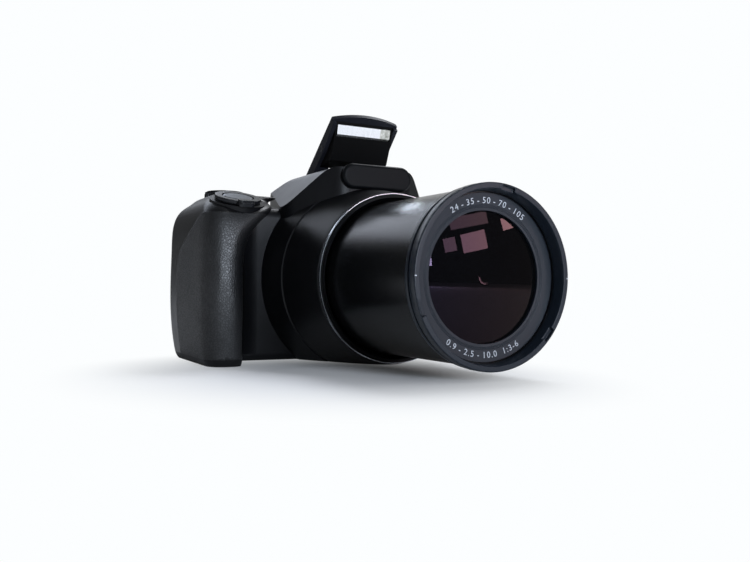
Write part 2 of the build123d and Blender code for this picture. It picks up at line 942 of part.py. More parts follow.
# Front cell, which holds the front glass and the second glass
cell_front_y = name_front + name_thick
glass_front = cell_front_y + glass_dome / 4
glass_seat = glass_front + glass_edge
with BuildPart() as front_cell:
    add(turned([
        (glass_radius, cell_front_y),
        (name_outer, cell_front_y),
        (name_outer, cell_front_y + cell_depth),
        (cell_bore, cell_front_y + cell_depth),
        (cell_bore, glass_seat + glass_dome + lens_dome),
        (glass_radius - 2 * glass_dome, glass_seat + glass_dome / 2),
        (glass_radius, glass_seat + glass_dome / 2),
    ]))
save(front_cell, "front_cell")

with BuildPart() as front_glass:
    add(lens_element(glass_radius, glass_front, glass_edge, glass_dome))
save(front_glass, "front_glass")

# Zoom carriage, a light cup that runs inside the barrel
carriage_outer = barrel_radius - barrel_wall - slide_gap
with BuildPart() as zoom_carriage:
    add(turned([
        (carriage_bore, -carriage_front),
        (carriage_bore + barrel_wall, -carriage_front),
        (carriage_bore + barrel_wall, -carriage_front + carriage_depth - barrel_wall),
        (carriage_outer - barrel_wall, -carriage_front + carriage_depth - barrel_wall),
        (carriage_outer - barrel_wall, -carriage_front),
        (carriage_outer, -carriage_front),
        (carriage_outer, -carriage_front + carriage_depth),
        (carriage_bore, -carriage_front + carriage_depth),
    ]))
save(zoom_carriage, "zoom_carriage")

with BuildPart() as zoom_glass:
    add(lens_element(carriage_bore, -carriage_front + 2 * lens_dome, carriage_depth / 3, lens_dome))
save(zoom_glass, "zoom_glass")

# Focus group on its two guide rods, before the sensor
with BuildPart() as focus_group:
    add(tube(focus_radius, focus_bore, -focus_front, -focus_front + focus_depth))
    with BuildSketch(lens_plane(-focus_front)):
        with PolarLocations(rod_circle, 2):
            Circle(rod_radius + rod_gap)
    extrude(amount=focus_depth, mode=Mode.SUBTRACT)
save(focus_group, "focus_group")

with BuildPart() as focus_glass:
    add(lens_element(focus_bore, -focus_front + lens_dome, focus_depth - 2 * lens_dome, lens_dome / 2))
save(focus_glass, "focus_glass")

with BuildPart() as guide_rods:
    with BuildSketch(lens_plane(-focus_front - focus_travel - overrun)):
        with PolarLocations(rod_circle, 2):
            Circle(rod_radius)
    extrude(amount=tube_tail + focus_front + focus_travel + overrun)
save(guide_rods, "guide_rods")

# Sensor plate, sensor and the metal frame that carries them
with BuildPart() as sensor_plate:
    add(disc(tube_inner + tube_wall, tube_tail, tube_tail + sensor_plate_thick))
save(sensor_plate, "sensor_plate")

with BuildPart() as image_sensor:
    add(slab_between(
        -sensor_width / 2, sensor_width / 2, tube_tail - sensor_thick, tube_tail,
        lens_height - sensor_tall / 2, lens_height + sensor_tall / 2,
    ))
save(image_sensor, "image_sensor")

frame_front = tube_tail + sensor_plate_thick
frame_back = frame_front + frame_thick
board_front = frame_back + board_gap
boss_places = [
    (x, height)
    for x in (boss_radius * 2 - board_left, frame_right - boss_radius * 2)
    for height in (board_low + boss_radius * 2, board_high - boss_radius * 2)
]
with BuildPart() as frame_plate:
    add(slab_between(-frame_left, frame_right, frame_front, frame_back, wall, frame_top))
    with BuildSketch(Plane.XZ.offset(-frame_back)):
        with Locations(*boss_places):
            Circle(boss_radius)
    extrude(amount=-board_gap)
save(frame_plate, "frame_plate")

with BuildPart() as main_board:
    add(slab_between(-board_left, frame_right, board_front, board_front + board_thick, board_low, board_high))
    for chip_x, chip_height in ((0, board_high - chip_size), (0, board_low + chip_size)):
        with BuildSketch(Plane.XZ.offset(-board_front - board_thick)):
            with Locations((chip_x, chip_height)):
                Rectangle(chip_size, chip_size)
        extrude(amount=-chip_thick)
save(main_board, "main_board")

with BuildPart() as flash_capacitor:
    with BuildSketch(Plane(origin=(capacitor_x, frame_front, capacitor_height), z_dir=(0, -1, 0))):
        Circle(capacitor_radius)
    extrude(amount=capacitor_long)
save(flash_capacitor, "flash_capacitor")

with BuildPart() as zoom_motor:
    with BuildSketch(Plane(origin=(-motor_x, frame_front, motor_height), z_dir=(0, -1, 0))):
        Circle(motor_radius)
    extrude(amount=motor_long)
    with BuildSketch(Plane(origin=(-motor_x, frame_front - motor_long, motor_height), z_dir=(0, -1, 0))):
        Circle(rod_radius)
    extrude(amount=motor_shaft)
save(zoom_motor, "zoom_motor")

# Boards under the rear and top controls
key_board_back = back_reach - wall - button_stem
with BuildPart() as key_board:
    add(slab_between(
        -key_board_left, -key_board_right, key_board_back - board_thick, key_board_back, board_low, board_high,
    ))
save(key_board, "key_board")

with BuildPart() as top_board:
    add(slab_between(
        -frame_left, -top_board_right, -top_board_front, frame_back, frame_top, frame_top + board_thick,
    ))
save(top_board, "top_board")

# Screen: the glass in its rebate and the panel behind it
with BuildPart() as screen_glass:
    extrude(rounded(Plane.XZ.offset(-screen_back), screen_outline(pin_gap)), amount=-glass_thick)
save(screen_glass, "screen_glass")

panel_half = screen_width / 2 - screen_border + panel_overlap
panel_back = back_reach - wall - pin_gap
with BuildPart() as screen_panel:
    add(slab_between(
        screen_x - panel_half, screen_x + panel_half, panel_back - panel_thick, panel_back,
        screen_height - screen_tall / 2 + screen_border - panel_overlap,
        screen_height + screen_tall / 2 - screen_border + panel_overlap,
    ))
save(screen_panel, "screen_panel")


# Rear buttons, each a stem with a rounded cap
def press_button(x, height, radius, inner=0):
    """A round button of the rear face, hollow where another sits in it."""
    with BuildPart() as button:
        with BuildSketch(rear_plane(-x, height, back_reach - wall - button_stem + 2 * button_travel)):
            Circle(radius)
            if inner:
                Circle(inner, mode=Mode.SUBTRACT)
        extrude(amount=wall + button_stem - 2 * button_travel + button_proud)
        rim = button.edges().filter_by(GeomType.CIRCLE).group_by(Axis.Y)[-1]
        fillet(rim, radius=button_proud * button_round_share)
    return button


for name, x, height, radius in rear_buttons:
    bore = set_radius + button_gap if name == "four_way_pad" else 0
    save(press_button(x, height, radius, bore), name)
save(press_button(pad_x, pad_height, set_radius), "set_button")

# Thumb pad, soft rubber with raised ribs
with BuildPart() as thumb_rest:
    extrude(rounded(Plane.XZ.offset(thumb_sink - back_reach), thumb_corners), amount=-thumb_sink - thumb_proud)
    fillet(thumb_rest.faces().sort_by(Axis.Y)[-1].edges(), radius=thumb_proud * button_round_share)
save(thumb_rest, "thumb_rest")

# Framing buttons on the far side of the lens cone
for name, height in zip(("frame_seek_button", "frame_lock_button"), frame_button_heights):
    with BuildPart() as frame_button:
        start = tube_inner + tube_wall + 2 * button_travel
        with BuildSketch(Plane(origin=(start, -frame_button_y, height), x_dir=(0, 1, 0), z_dir=(1, 0, 0))):
            SlotOverall(frame_button_length, frame_button_width)
        extrude(amount=frame_button_face - start)
        fillet(frame_button.faces().sort_by(Axis.X)[-1].edges(), radius=button_travel)
    save(frame_button, name)

# Side door over the sockets, hinged on its rounded front edge
door_axis = Plane(
    origin=(side_door_face + side_door_thick / 2, side_door_thick / 2 - side_door_front, side_door_low),
)
with BuildPart() as side_door:
    add(slab_between(
        side_door_face, far_side, side_door_thick / 2 - side_door_front, side_door_back,
        side_door_low, side_door_high,
    ))
    with BuildSketch(door_axis):
        Circle(side_door_thick / 2)
    extrude(amount=side_door_high - side_door_low)
save(side_door, "side_door")

with BuildPart() as plug_sockets:
    block_face = far_side - wall
    add(slab_between(
        block_face - plug_block_depth, block_face, -side_door_front, side_door_back,
        side_door_low + side_door_border / 2, side_door_high - side_door_border / 2,
    ))
    for height in plug_heights:
        with BuildSketch(Plane.YZ.offset(block_face)):
            with Locations(((side_door_back - side_door_front) / 2, height)):
                Rectangle(plug_width, plug_tall)
        extrude(amount=-plug_depth, mode=Mode.SUBTRACT)
save(plug_sockets, "plug_sockets")


# Shutter button and the zoom lever round it
with BuildPart() as shutter_button:
    with BuildSketch(shutter_deck.offset(-seat_depth + 2 * shutter_travel)):
        Circle(shutter_radius)
    extrude(amount=seat_depth - 2 * shutter_travel + shutter_proud)
    cap_edge = shutter_button.edges().filter_by(GeomType.CIRCLE).sort_by(Axis.Z)[-1]
    fillet(cap_edge, radius=shutter_proud * button_round_share)
save(shutter_button, "shutter_button")

with BuildPart() as zoom_lever:
    with BuildSketch(shutter_deck.offset(lever_lift)):
        Circle(lever_radius)
        with Locations((0, -lever_radius)):
            RectangleRounded(lever_tab_width, 2 * lever_tab, lever_tab_width / 4)
        Circle(shutter_radius + button_gap, mode=Mode.SUBTRACT)
    extrude(amount=lever_height)
    with BuildSketch(shutter_deck.offset(lever_lift + lever_height)):
        with Locations((0, -lever_radius - lever_tab / 4)):
            RectangleRounded(lever_tab_width, lever_tab, lever_tab_width / 5)
    extrude(amount=lever_height / 2)
save(zoom_lever, "zoom_lever")

# Mode dial with its ribbed edge
dial_base = grip_height + lever_lift
with BuildPart() as mode_dial:
    with BuildSketch(Plane.XY.offset(dial_base)):
        with Locations((-dial_x, -dial_y)):
            Circle(dial_radius - dial_rib)
            with PolarLocations(dial_radius - dial_rib, dial_rib_count):
                Rectangle(2 * dial_rib, 2 * dial_rib)
    extrude(amount=dial_height - dial_rib)
    with BuildSketch(Plane.XY.offset(dial_base + dial_height - dial_rib)):
        with Locations((-dial_x, -dial_y)):
            Circle(dial_radius - 2 * dial_rib)
    extrude(amount=dial_rib)
    with BuildSketch(Plane.XY.offset(frame_top + board_thick + button_gap)):
        with Locations((-dial_x, -dial_y)):
            Circle(dial_shaft)
    extrude(amount=dial_base - frame_top - board_thick - button_gap)
save(mode_dial, "mode_dial")

with BuildPart() as power_button:
    with BuildSketch(Plane.XY.offset(frame_top + board_thick + key_gap)):
        with Locations((-power_x, -power_y)):
            Circle(power_radius)
    extrude(amount=deck_height + button_proud - frame_top - board_thick - key_gap)
    power_rim = power_button.edges().filter_by(GeomType.CIRCLE).sort_by(Axis.Z)[-1]
    fillet(power_rim, radius=button_proud * button_round_share)
save(power_button, "power_button")

# Flash head: box, reflector, tube and window under a forked skin that turns on the hinge pin
box_profile = [
    (box_start, skin_top - skin),
    (box_start, -box_rear_bottom),
    (box_floor_place, -box_floor),
    (window_low_place, -window_low),
    (window_high_place, skin_top - skin),
]
lamp_profile = [
    (lamp_back_place, lamp_back_low),
    (window_low_place, -window_low + lamp_rim),
    (window_low_place + overrun, -window_low - overrun),
    (window_high_place + 2 * overrun, skin_top - skin - overrun / 2),
    (window_high_place - lamp_rim, skin_top - skin - lamp_rim),
    (lamp_back_place, skin_top - skin - lamp_rim),
]
with BuildPart() as flash_box:
    with BuildSketch(raised):
        with BuildLine():
            Polyline(*box_profile, close=True)
        make_face()
    extrude(amount=box_half, both=True)
    with BuildSketch(raised):
        with BuildLine():
            Polyline(*lamp_profile, close=True)
        make_face()
    extrude(amount=lamp_half, both=True, mode=Mode.SUBTRACT)
save(flash_box, "flash_box")

# The window closes the mouth of the box; it lies between the two lips of the profile
window_run = window_high_place - window_low_place
window_rise = skin_top - skin + window_low
lip_run = window_run * window_lip_share
lip_rise = window_rise * window_lip_share
window_profile = [
    (window_low_place + lip_run, -window_low + lip_rise),
    (window_high_place - lip_run, skin_top - skin - lip_rise),
    (window_high_place - lip_run - window_thick, skin_top - skin - lip_rise),
    (window_low_place + lip_run - window_thick, -window_low + lip_rise),
]
with BuildPart() as flash_window:
    with BuildSketch(raised):
        with BuildLine():
            Polyline(*window_profile, close=True)
        make_face()
    extrude(amount=lamp_half - pin_gap, both=True)
save(flash_window, "flash_window")

mouth = window_low_place - window_thick
ceiling = skin_top - skin - lamp_rim - pin_gap
reflector_profile = [
    (lamp_back_place + reflector_wall, lamp_back_low + 2 * reflector_wall),
    (mouth, lamp_rim - window_low),
    (mouth, lamp_rim - window_low + reflector_wall),
    (lamp_back_place + 2 * reflector_wall, lamp_back_low + 3 * reflector_wall),
    (lamp_back_place + 2 * reflector_wall, ceiling - reflector_wall),
    (window_low_place + 2 * window_thick, ceiling - reflector_wall),
    (window_low_place + 2 * window_thick, ceiling),
    (lamp_back_place + reflector_wall, ceiling),
]
with BuildPart() as flash_reflector:
    with BuildSketch(raised):
        with BuildLine():
            Polyline(*reflector_profile, close=True)
        make_face()
    extrude(amount=lamp_half - 2 * reflector_wall, both=True)
save(flash_reflector, "flash_reflector")

with BuildPart() as flash_tube:
    centre = raised.from_local_coords((lamp_back_place + 3 * flash_tube_radius, flash_tube_offset, 0))
    with BuildSketch(Plane(origin=centre, x_dir=(0, 1, 0), z_dir=(1, 0, 0))):
        Circle(flash_tube_radius)
    extrude(amount=lamp_half - lamp_rim, both=True)
save(flash_tube, "flash_tube")

skin_plane = Plane(
    origin=raised.from_local_coords((0, skin_top, 0)),
    x_dir=(-1, 0, 0),
    z_dir=(0, sin(radians(raised_angle)), cos(radians(raised_angle))),
)
arm_profile_end = box_start + head_gap
with BuildPart() as flash_cover:
    with BuildSketch(skin_plane):
        with BuildLine():
            ThreePointArc((-head_half, head_length), (0, head_length + head_crown), (head_half, head_length))
            Polyline((head_half, head_length), (head_half, 0), (-head_half, 0), (-head_half, head_length))
        make_face()
    extrude(amount=-skin)
    for sign in (-1, 1):
        with BuildSketch(raised.offset(sign * head_half)):
            with BuildLine():
                Polyline(
                    (0, skin_top - overrun / 2), (0, -arm_bottom), (box_floor_place, -arm_bottom),
                    (window_high_place, skin_top - 2 * skin), (window_high_place, skin_top - overrun / 2),
                    close=True,
                )
            make_face()
        extrude(amount=-sign * (head_half - box_half - pin_gap))
        with BuildSketch(raised.offset(sign * head_half)):
            Circle(skin_top)
            with Locations((arm_profile_end / 2, (skin_top - arm_bottom) / 2)):
                Rectangle(arm_profile_end, skin_top + arm_bottom)
        extrude(amount=-sign * (head_half - arm_inner))
    with BuildSketch(skin_plane.offset(overrun)):
        Rectangle(2 * arm_inner, 2 * box_start)
    extrude(amount=-far, mode=Mode.SUBTRACT)
    with BuildSketch(Plane(origin=hinge, x_dir=(0, 1, 0), z_dir=(1, 0, 0))):
        Circle(pin_radius + pin_gap)
    extrude(amount=head_half + overrun, both=True, mode=Mode.SUBTRACT)
    with BuildSketch(raised):
        with BuildLine():
            Polyline(*box_profile, close=True)
        make_face()
    extrude(amount=box_half, both=True, mode=Mode.SUBTRACT)
save(flash_cover, "flash_cover")

with BuildPart() as flash_pin:
    with BuildSketch(Plane(origin=hinge, x_dir=(0, 1, 0), z_dir=(1, 0, 0))):
        Circle(pin_radius)
    extrude(amount=head_half, both=True)
save(flash_pin, "flash_pin")

# Lifting spring of the flash, wound round the pin in the tongue's pocket
spring_mean = pin_radius + 2 * pin_gap + spring_wire / 2
with BuildPart() as flash_spring:
    with BuildLine():
        coil = Helix(
            pitch=spring_pitch,
            height=spring_pitch * spring_turn_count,
            radius=spring_mean,
            center=(spring_start + spring_wire, -hinge_y, hinge_height),
            direction=(1, 0, 0),
        )
    with BuildSketch(Plane(origin=coil @ 0, z_dir=coil % 0)):
        Circle(spring_wire / 2)
    sweep()
save(flash_spring, "flash_spring")
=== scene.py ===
# %% [markdown]
# A bridge camera stands on a pale table with its zoom run out and its flash up.
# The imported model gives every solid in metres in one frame: +Z is up and the lens looks along -Y.
# This lesson dresses those solids and adds what only a close look shows.

import math

import bmesh
import bpy
from mathutils import Matrix, Vector


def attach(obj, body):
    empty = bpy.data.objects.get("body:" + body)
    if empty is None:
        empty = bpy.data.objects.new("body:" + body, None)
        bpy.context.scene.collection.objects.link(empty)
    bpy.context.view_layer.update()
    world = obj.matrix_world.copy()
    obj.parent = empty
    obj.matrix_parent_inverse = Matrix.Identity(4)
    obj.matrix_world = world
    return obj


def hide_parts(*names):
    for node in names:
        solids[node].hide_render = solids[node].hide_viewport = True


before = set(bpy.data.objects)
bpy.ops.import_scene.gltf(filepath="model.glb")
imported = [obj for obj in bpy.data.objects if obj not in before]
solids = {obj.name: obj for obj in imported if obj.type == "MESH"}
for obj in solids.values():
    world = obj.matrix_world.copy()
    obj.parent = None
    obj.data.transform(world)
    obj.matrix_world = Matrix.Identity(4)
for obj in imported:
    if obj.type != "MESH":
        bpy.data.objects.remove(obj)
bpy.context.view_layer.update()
MM = 0.001

# %% [markdown]
# A material is a small tree of nodes. One function adds a node, sets its properties and fills its
# inputs with values or with the sockets of other nodes, so that a finish reads like a recipe.
# Colours are written as sRGB hex, as a paint card would give them, and turned to linear light here.


# %% Tools for materials
def colour(code):
    """The linear colour of an sRGB hex code."""
    parts = [int(code[i:i + 2], 16) / 255 for i in (0, 2, 4)]
    return tuple(p / 12.92 if p <= 0.04045 else ((p + 0.055) / 1.055) ** 2.4 for p in parts) + (1.0,)


def add(tree, kind, inputs=None, **settings):
    """Adds a node and fills its inputs with values or with other nodes' sockets."""
    item = tree.nodes.new("ShaderNode" + kind)
    for key, value in settings.items():
        setattr(item, key, value)
    for key, value in (inputs or {}).items():
        if isinstance(value, bpy.types.NodeSocket):
            tree.links.new(value, item.inputs[key])
        else:
            item.inputs[key].default_value = value
    return item


def blank(name):
    """A material with an empty tree, and its object coordinates."""
    material = bpy.data.materials.new(name)
    material.use_nodes = True
    tree = material.node_tree
    tree.nodes.clear()
    return material, tree, add(tree, "TexCoord").outputs["Object"]


def shade(tree, **inputs):
    """Ends a tree in one surface shader."""
    named = {key.replace("_", " "): value for key, value in inputs.items()}
    shader = add(tree, "BsdfPrincipled", named)
    add(tree, "OutputMaterial", {"Surface": shader.outputs[0]})
    return shader


print("white is", colour("ffffff"))

# %% [markdown]
# Most of the body is ABS moulded in a spark-eroded tool. The tool leaves a fine even grit, so the
# plastic breaks highlights into a soft satin. The real grit is under a tenth of a millimetre. It is
# drawn here at 0.25 to 0.4 mm, because finer grit doesn't show at this picture size. A wider noise
# moves the roughness a little, as handling does.


# %% Moulded plastics
CLOUD_WIDTH = 9 * MM


def moulded(name, dark, light, grit_mm, depth_mm, rough, shine=0.25):
    """Moulded plastic with a grit, a cloudy tone and a roughness that wanders."""
    material, tree, place = blank(name)
    cloud = add(tree, "TexNoise", {"Vector": place, "Scale": 1 / CLOUD_WIDTH, "Detail": 3.0})
    grit = add(tree, "TexNoise", {"Vector": place, "Scale": 1 / (grit_mm * MM), "Detail": 2.0})
    tone = add(tree, "MixRGB", {"Fac": cloud.outputs["Fac"], "Color1": colour(dark),
                                "Color2": colour(light)})
    wander = add(tree, "MapRange", {"Value": cloud.outputs["Fac"], "To Min": rough - 0.05,
                                    "To Max": rough + 0.06})
    bump = add(tree, "Bump", {"Height": grit.outputs["Fac"], "Distance": depth_mm * MM, "Strength": 0.5})
    shade(tree, Base_Color=tone.outputs[0], Roughness=wander.outputs[0], Normal=bump.outputs[0],
          Specular_IOR_Level=shine)
    return material


# Body covers: spark-textured ABS, which the eye reads as a soft black with wide dim highlights.
cover_abs = moulded("spark_textured_black_abs", "0c0c0e", "121316", 0.32, 0.02, 0.38, 0.24)
# Flash cover: a finer tool texture in a slightly lighter ABS.
flash_abs = moulded("satin_graphite_abs", "202127", "282a31", 0.30, 0.012, 0.38, 0.13)
# Base and battery door: duller ABS with a coarser grit, because this side only meets the table.
base_abs = moulded("matt_black_abs", "0b0b0c", "101114", 0.4, 0.03, 0.55)
# Name bar: satin paint over a moulded plate, flatter in tone than the covers round it.
plate_paint = moulded("satin_black_plate_paint", "0a0b0d", "0e1013", 0.3, 0.008, 0.42, 0.12)
# Keys and dial: smoother ABS, as fingers and a polished tool leave it.
key_abs = moulded("satin_black_key_abs", "141518", "1b1d21", 0.25, 0.008, 0.33, 0.4)
# Inside the lens: dull polycarbonate that gives almost no highlight.
inner_pc = moulded("matt_black_polycarbonate", "050506", "09090a", 0.3, 0.02, 0.68, 0.1)
for made in (cover_abs, flash_abs, base_abs, plate_paint, key_abs, inner_pc):
    print("plastic", made.name)

# %% [markdown]
# The grip is a rubber skin moulded with a leather grain: small rounded cells of about a millimetre
# with narrow valleys. A Voronoi texture measured to the cell edge draws the valleys, and a noise
# bends its coordinates first, so that no cell is a clean polygon. The eye gets a highlight broken
# into small soft specks. A patch on the front is made smoother by its place. It stands for the shine
# that fingers leave, and gathers the light where the photograph has its brightest patch.

# %% Grip rubber
grip_rubber, tree, place = blank("leather_grained_black_rubber")
bend = add(tree, "TexNoise", {"Vector": place, "Scale": 1 / (1.6 * MM), "Detail": 2.0})
BEND = 0.9 * MM
shift = add(tree, "VectorMath", {0: bend.outputs["Color"], 1: (BEND, BEND, BEND)}, operation="MULTIPLY")
bent = add(tree, "VectorMath", {0: place, 1: shift.outputs[0]}, operation="ADD")
CELL_WIDTH = 0.95 * MM
cells = add(tree, "TexVoronoi", {"Vector": bent.outputs[0], "Scale": 1 / CELL_WIDTH},
            feature="DISTANCE_TO_EDGE")
valley = add(tree, "MapRange", {"Value": cells.outputs["Distance"], "From Max": 0.22},
             interpolation_type="SMOOTHSTEP")
skin = add(tree, "MixRGB", {"Fac": valley.outputs[0], "Color1": colour("08090b"),
                            "Color2": colour("0d0f12")})
polish = add(tree, "MapRange", {"Value": valley.outputs[0], "To Min": 0.72, "To Max": 0.58})
grain = add(tree, "Bump", {"Height": valley.outputs[0], "Distance": 0.06 * MM, "Strength": 0.45})
WORN_SPOT, WORN_REACH, WORN_CHANGE = (-58 * MM, -41 * MM, 37 * MM), 26 * MM, -0.26
away = add(tree, "VectorMath", {0: place, 1: WORN_SPOT}, operation="DISTANCE")
worn = add(tree, "MapRange", {"Value": away.outputs["Value"], "From Min": 3 * MM, "From Max": WORN_REACH,
                              "To Min": 1.0, "To Max": 0.0}, interpolation_type="SMOOTHSTEP")
rubbed = add(tree, "Math", {0: worn.outputs[0], 1: WORN_CHANGE, 2: polish.outputs[0]},
             operation="MULTIPLY_ADD")
shade(tree, Base_Color=skin.outputs[0], Roughness=rubbed.outputs[0], Normal=grain.outputs[0],
      Specular_IOR_Level=0.72)
print("grain cells", round(CELL_WIDTH / MM, 2), "mm")

# %% [markdown]
# The barrel is a painted tube that slides through a felt seal, and the seal leaves hair-fine rings.
# A band texture along the lens axis draws them. The lines are drawn about half a millimetre wide,
# coarser than the real hair lines, which wouldn't show. They spread highlights along the tube.


# %% Barrel paint
WAVE_LINES = 6.2832  # about how many lines, dark and light, a Wave texture draws in one unit


def barrel_paint(name, dark, rough, line_mm, depth_mm, shine):
    """Satin paint with lines that run round the lens axis, each about line_mm wide."""
    material, tree, place = blank(name)
    lines = add(tree, "TexWave", {"Vector": place, "Scale": 1 / (line_mm * MM) / WAVE_LINES,
                                  "Distortion": 0.6, "Detail": 2.0, "Detail Scale": 2.0},
                bands_direction="Y")
    dust = add(tree, "TexNoise", {"Vector": place, "Scale": 1 / (0.35 * MM), "Detail": 2.0})
    both = add(tree, "MixRGB", {"Fac": 0.45, "Color1": lines.outputs["Color"],
                                "Color2": dust.outputs["Color"]})
    rub = add(tree, "MapRange", {"Value": both.outputs[0], "To Min": rough - 0.04,
                                 "To Max": rough + 0.05})
    bump = add(tree, "Bump", {"Height": both.outputs[0], "Distance": depth_mm * MM, "Strength": 0.35})
    shade(tree, Base_Color=colour(dark), Roughness=rub.outputs[0], Normal=bump.outputs[0],
          Specular_IOR_Level=shine)
    return material


# Outer barrel: the smoothest of the three, so it keeps a narrow bright band.
barrel_satin = barrel_paint("satin_black_barrel_paint", "0b0c0e", 0.24, 0.5, 0.006, 0.22)
# Front ring and name ring: a blue-black that reads cooler than the barrel.
ring_satin = barrel_paint("satin_blue_black_ring_paint", "19212b", 0.34, 0.4, 0.008, 0.42)
# Bezel: the dullest, so that the bright line beside it stands out.
bezel_satin = barrel_paint("satin_black_bezel_paint", "0a0b0d", 0.42, 0.4, 0.008, 0.12)
print("paints", barrel_satin.name, ring_satin.name, bezel_satin.name)

# %% [markdown]
# Metals keep the default IOR. Their colour is the reflection itself, and what tells one from the
# next is roughness: chrome is a mirror, turned steel and bead-blasted aluminium scatter more. Their
# grain is drawn at 0.2 to 0.8 mm, coarser than real turning marks and blasting, to show at all.


# %% Metals
def metal(name, tint, rough, grain_mm):
    """Bare metal with a fine grain in its roughness and bump."""
    material, tree, place = blank(name)
    grain = add(tree, "TexNoise", {"Vector": place, "Scale": 1 / (grain_mm * MM), "Detail": 4.0})
    rub = add(tree, "MapRange", {"Value": grain.outputs["Fac"], "To Min": rough * 0.8,
                                 "To Max": rough * 1.3})
    bump = add(tree, "Bump", {"Height": grain.outputs["Fac"], "Distance": 0.005 * MM, "Strength": 0.3})
    shade(tree, Base_Color=colour(tint), Metallic=1.0, Roughness=rub.outputs[0], Normal=bump.outputs[0])
    return material


chrome = metal("polished_chrome_plate", "d9dde3", 0.08, 0.8)
steel = metal("turned_stainless_steel", "8f9296", 0.34, 0.4)
blasted = metal("bead_blasted_grey_aluminium", "5c6168", 0.34, 0.2)
print("metals", chrome.name, steel.name, blasted.name)

# %% [markdown]
# The bright line round the cone is a plated ring whose face is masked with satin lacquer, so only
# its outer edge stays polished. The distance from the lens axis decides where the lacquer ends, over
# two tenths of a millimetre.

# %% Masked chrome
LENS_HEIGHT = 33.2 * MM
edge_chrome, tree, place = blank("lacquer_masked_chrome_plate")
centred = add(tree, "Mapping", {"Vector": place, "Location": (0, 0, -LENS_HEIGHT), "Scale": (1, 0, 1)})
radius = add(tree, "VectorMath", {0: centred.outputs[0]}, operation="LENGTH")
LACQUER_EDGE, BARE_EDGE = 32.2, 32.4
bare = add(tree, "MapRange", {"Value": radius.outputs["Value"], "From Min": LACQUER_EDGE * MM,
                              "From Max": BARE_EDGE * MM})
lines = add(tree, "TexNoise", {"Vector": place, "Scale": 1 / (0.6 * MM), "Detail": 2.0})
plate = add(tree, "MixRGB", {"Fac": lines.outputs["Fac"], "Color1": colour("cfd4db"),
                             "Color2": colour("e2e6eb")})
face = add(tree, "MixRGB", {"Fac": bare.outputs[0], "Color1": colour("08090a"),
                            "Color2": plate.outputs[0]})
gloss = add(tree, "MapRange", {"Value": bare.outputs[0], "To Min": 0.5, "To Max": 0.22})
shade(tree, Base_Color=face.outputs[0], Metallic=bare.outputs[0], Roughness=gloss.outputs[0],
      Specular_IOR_Level=0.15)
print("lacquer ends at", LACQUER_EDGE, "mm from the lens axis")

# %% [markdown]
# Camera glass carries a coating a tenth of a micron thick. It cancels most of the reflection and
# leaves a purple or green one. The shader has that film built in: 1.38 is the film's own index. Real
# front glass is clear. This one has a nearly black tint, painted shade that stands for the dark inside
# of the lens, so that the lens shows black with faint reflections. Clearer glass also shows lamp
# ghosts from the glasses behind it.


# %% Lens glass
SMEAR_WIDTH = 14 * MM


def coated(name, film, tint, stain, clear):
    """Tinted glass with an anti-reflection film of a given thickness in nanometres."""
    material, tree, place = blank(name)
    smear = add(tree, "TexNoise", {"Vector": place, "Scale": 1 / SMEAR_WIDTH, "Detail": 3.0})
    tone = add(tree, "MixRGB", {"Fac": smear.outputs["Fac"], "Color1": colour(tint),
                                "Color2": colour(stain)})
    shade(tree, Base_Color=tone.outputs[0], Roughness=0.0, IOR=1.6, Transmission_Weight=clear,
          Thin_Film_Thickness=film, Thin_Film_IOR=1.38)
    return material


# Front glass: a nearly black tint, painted shade for the dark inside of the lens, and a faint
# violet sheen where a lamp is mirrored.
front_coat = coated("magenta_coated_optical_glass", 102.0, "0c0e10", "121416", 0.55)
# Inner glasses: a grey-green tint, hardly seen behind the dark front glass.
inner_coat = coated("green_coated_optical_glass", 112.0, "3a423c", "424a44", 0.9)
print("lens glass", front_coat.name, inner_coat.name)

# %% [markdown]
# The flash window is ribbed polycarbonate over a silvered trough, with the tube's socket at one end.
# Ribs two millimetres apart break the silver sheen into soft stripes, and the socket stays pale.

# %% Flash window
window_glass, tree, place = blank("ribbed_polycarbonate_over_silver")
axes = add(tree, "SeparateXYZ", {0: place})
ribs = add(tree, "TexWave", {"Vector": place, "Scale": 1 / (1.1 * MM) / WAVE_LINES}, bands_direction="X")
SOCKET_EDGE, SOCKET_FULL = 7.3 * MM, 7.9 * MM
tube_end = add(tree, "MapRange", {"Value": axes.outputs["X"], "From Min": SOCKET_EDGE,
                                  "From Max": SOCKET_FULL})
pins = add(tree, "TexVoronoi", {"Vector": place, "Scale": 1 / (1.5 * MM)}, feature="F1",
           distance="CHEBYCHEV")
socket = add(tree, "MixRGB", {"Fac": pins.outputs["Distance"], "Color1": colour("f4f4ea"),
                              "Color2": colour("77796c")})
silver = add(tree, "MixRGB", {"Fac": tube_end.outputs[0], "Color1": colour("ffffff"),
                              "Color2": socket.outputs[0]})
frosting = add(tree, "MapRange", {"Value": ribs.outputs["Fac"], "To Min": 0.12, "To Max": 0.26})
rib_bump = add(tree, "Bump", {"Height": ribs.outputs["Fac"], "Distance": 0.05 * MM, "Strength": 0.3})
shade(tree, Base_Color=silver.outputs[0], Roughness=frosting.outputs[0], Metallic=0.9,
      Normal=rib_bump.outputs[0])
print("flash window", window_glass.name)

# %% [markdown]
# The screen is hard-coated glass, almost a mirror, dulled in clouds by finger grease. A blacker border
# is printed behind it round the display. The distance from the display's middle decides where it is.

# %% Screen glass
screen_top, tree, place = blank("hard_coated_screen_glass")
touch = add(tree, "TexNoise", {"Vector": place, "Scale": 1 / (11 * MM), "Detail": 4.0})
prints = add(tree, "MapRange", {"Value": touch.outputs["Fac"], "To Min": 0.03, "To Max": 0.12})
DISPLAY_MIDDLE, HALF_WIDE, HALF_TALL = (10.5 * MM, 19.65 * MM, 30.5 * MM), 28.5, 21.5
from_middle = add(tree, "VectorMath", {0: place, 1: DISPLAY_MIDDLE}, operation="SUBTRACT")
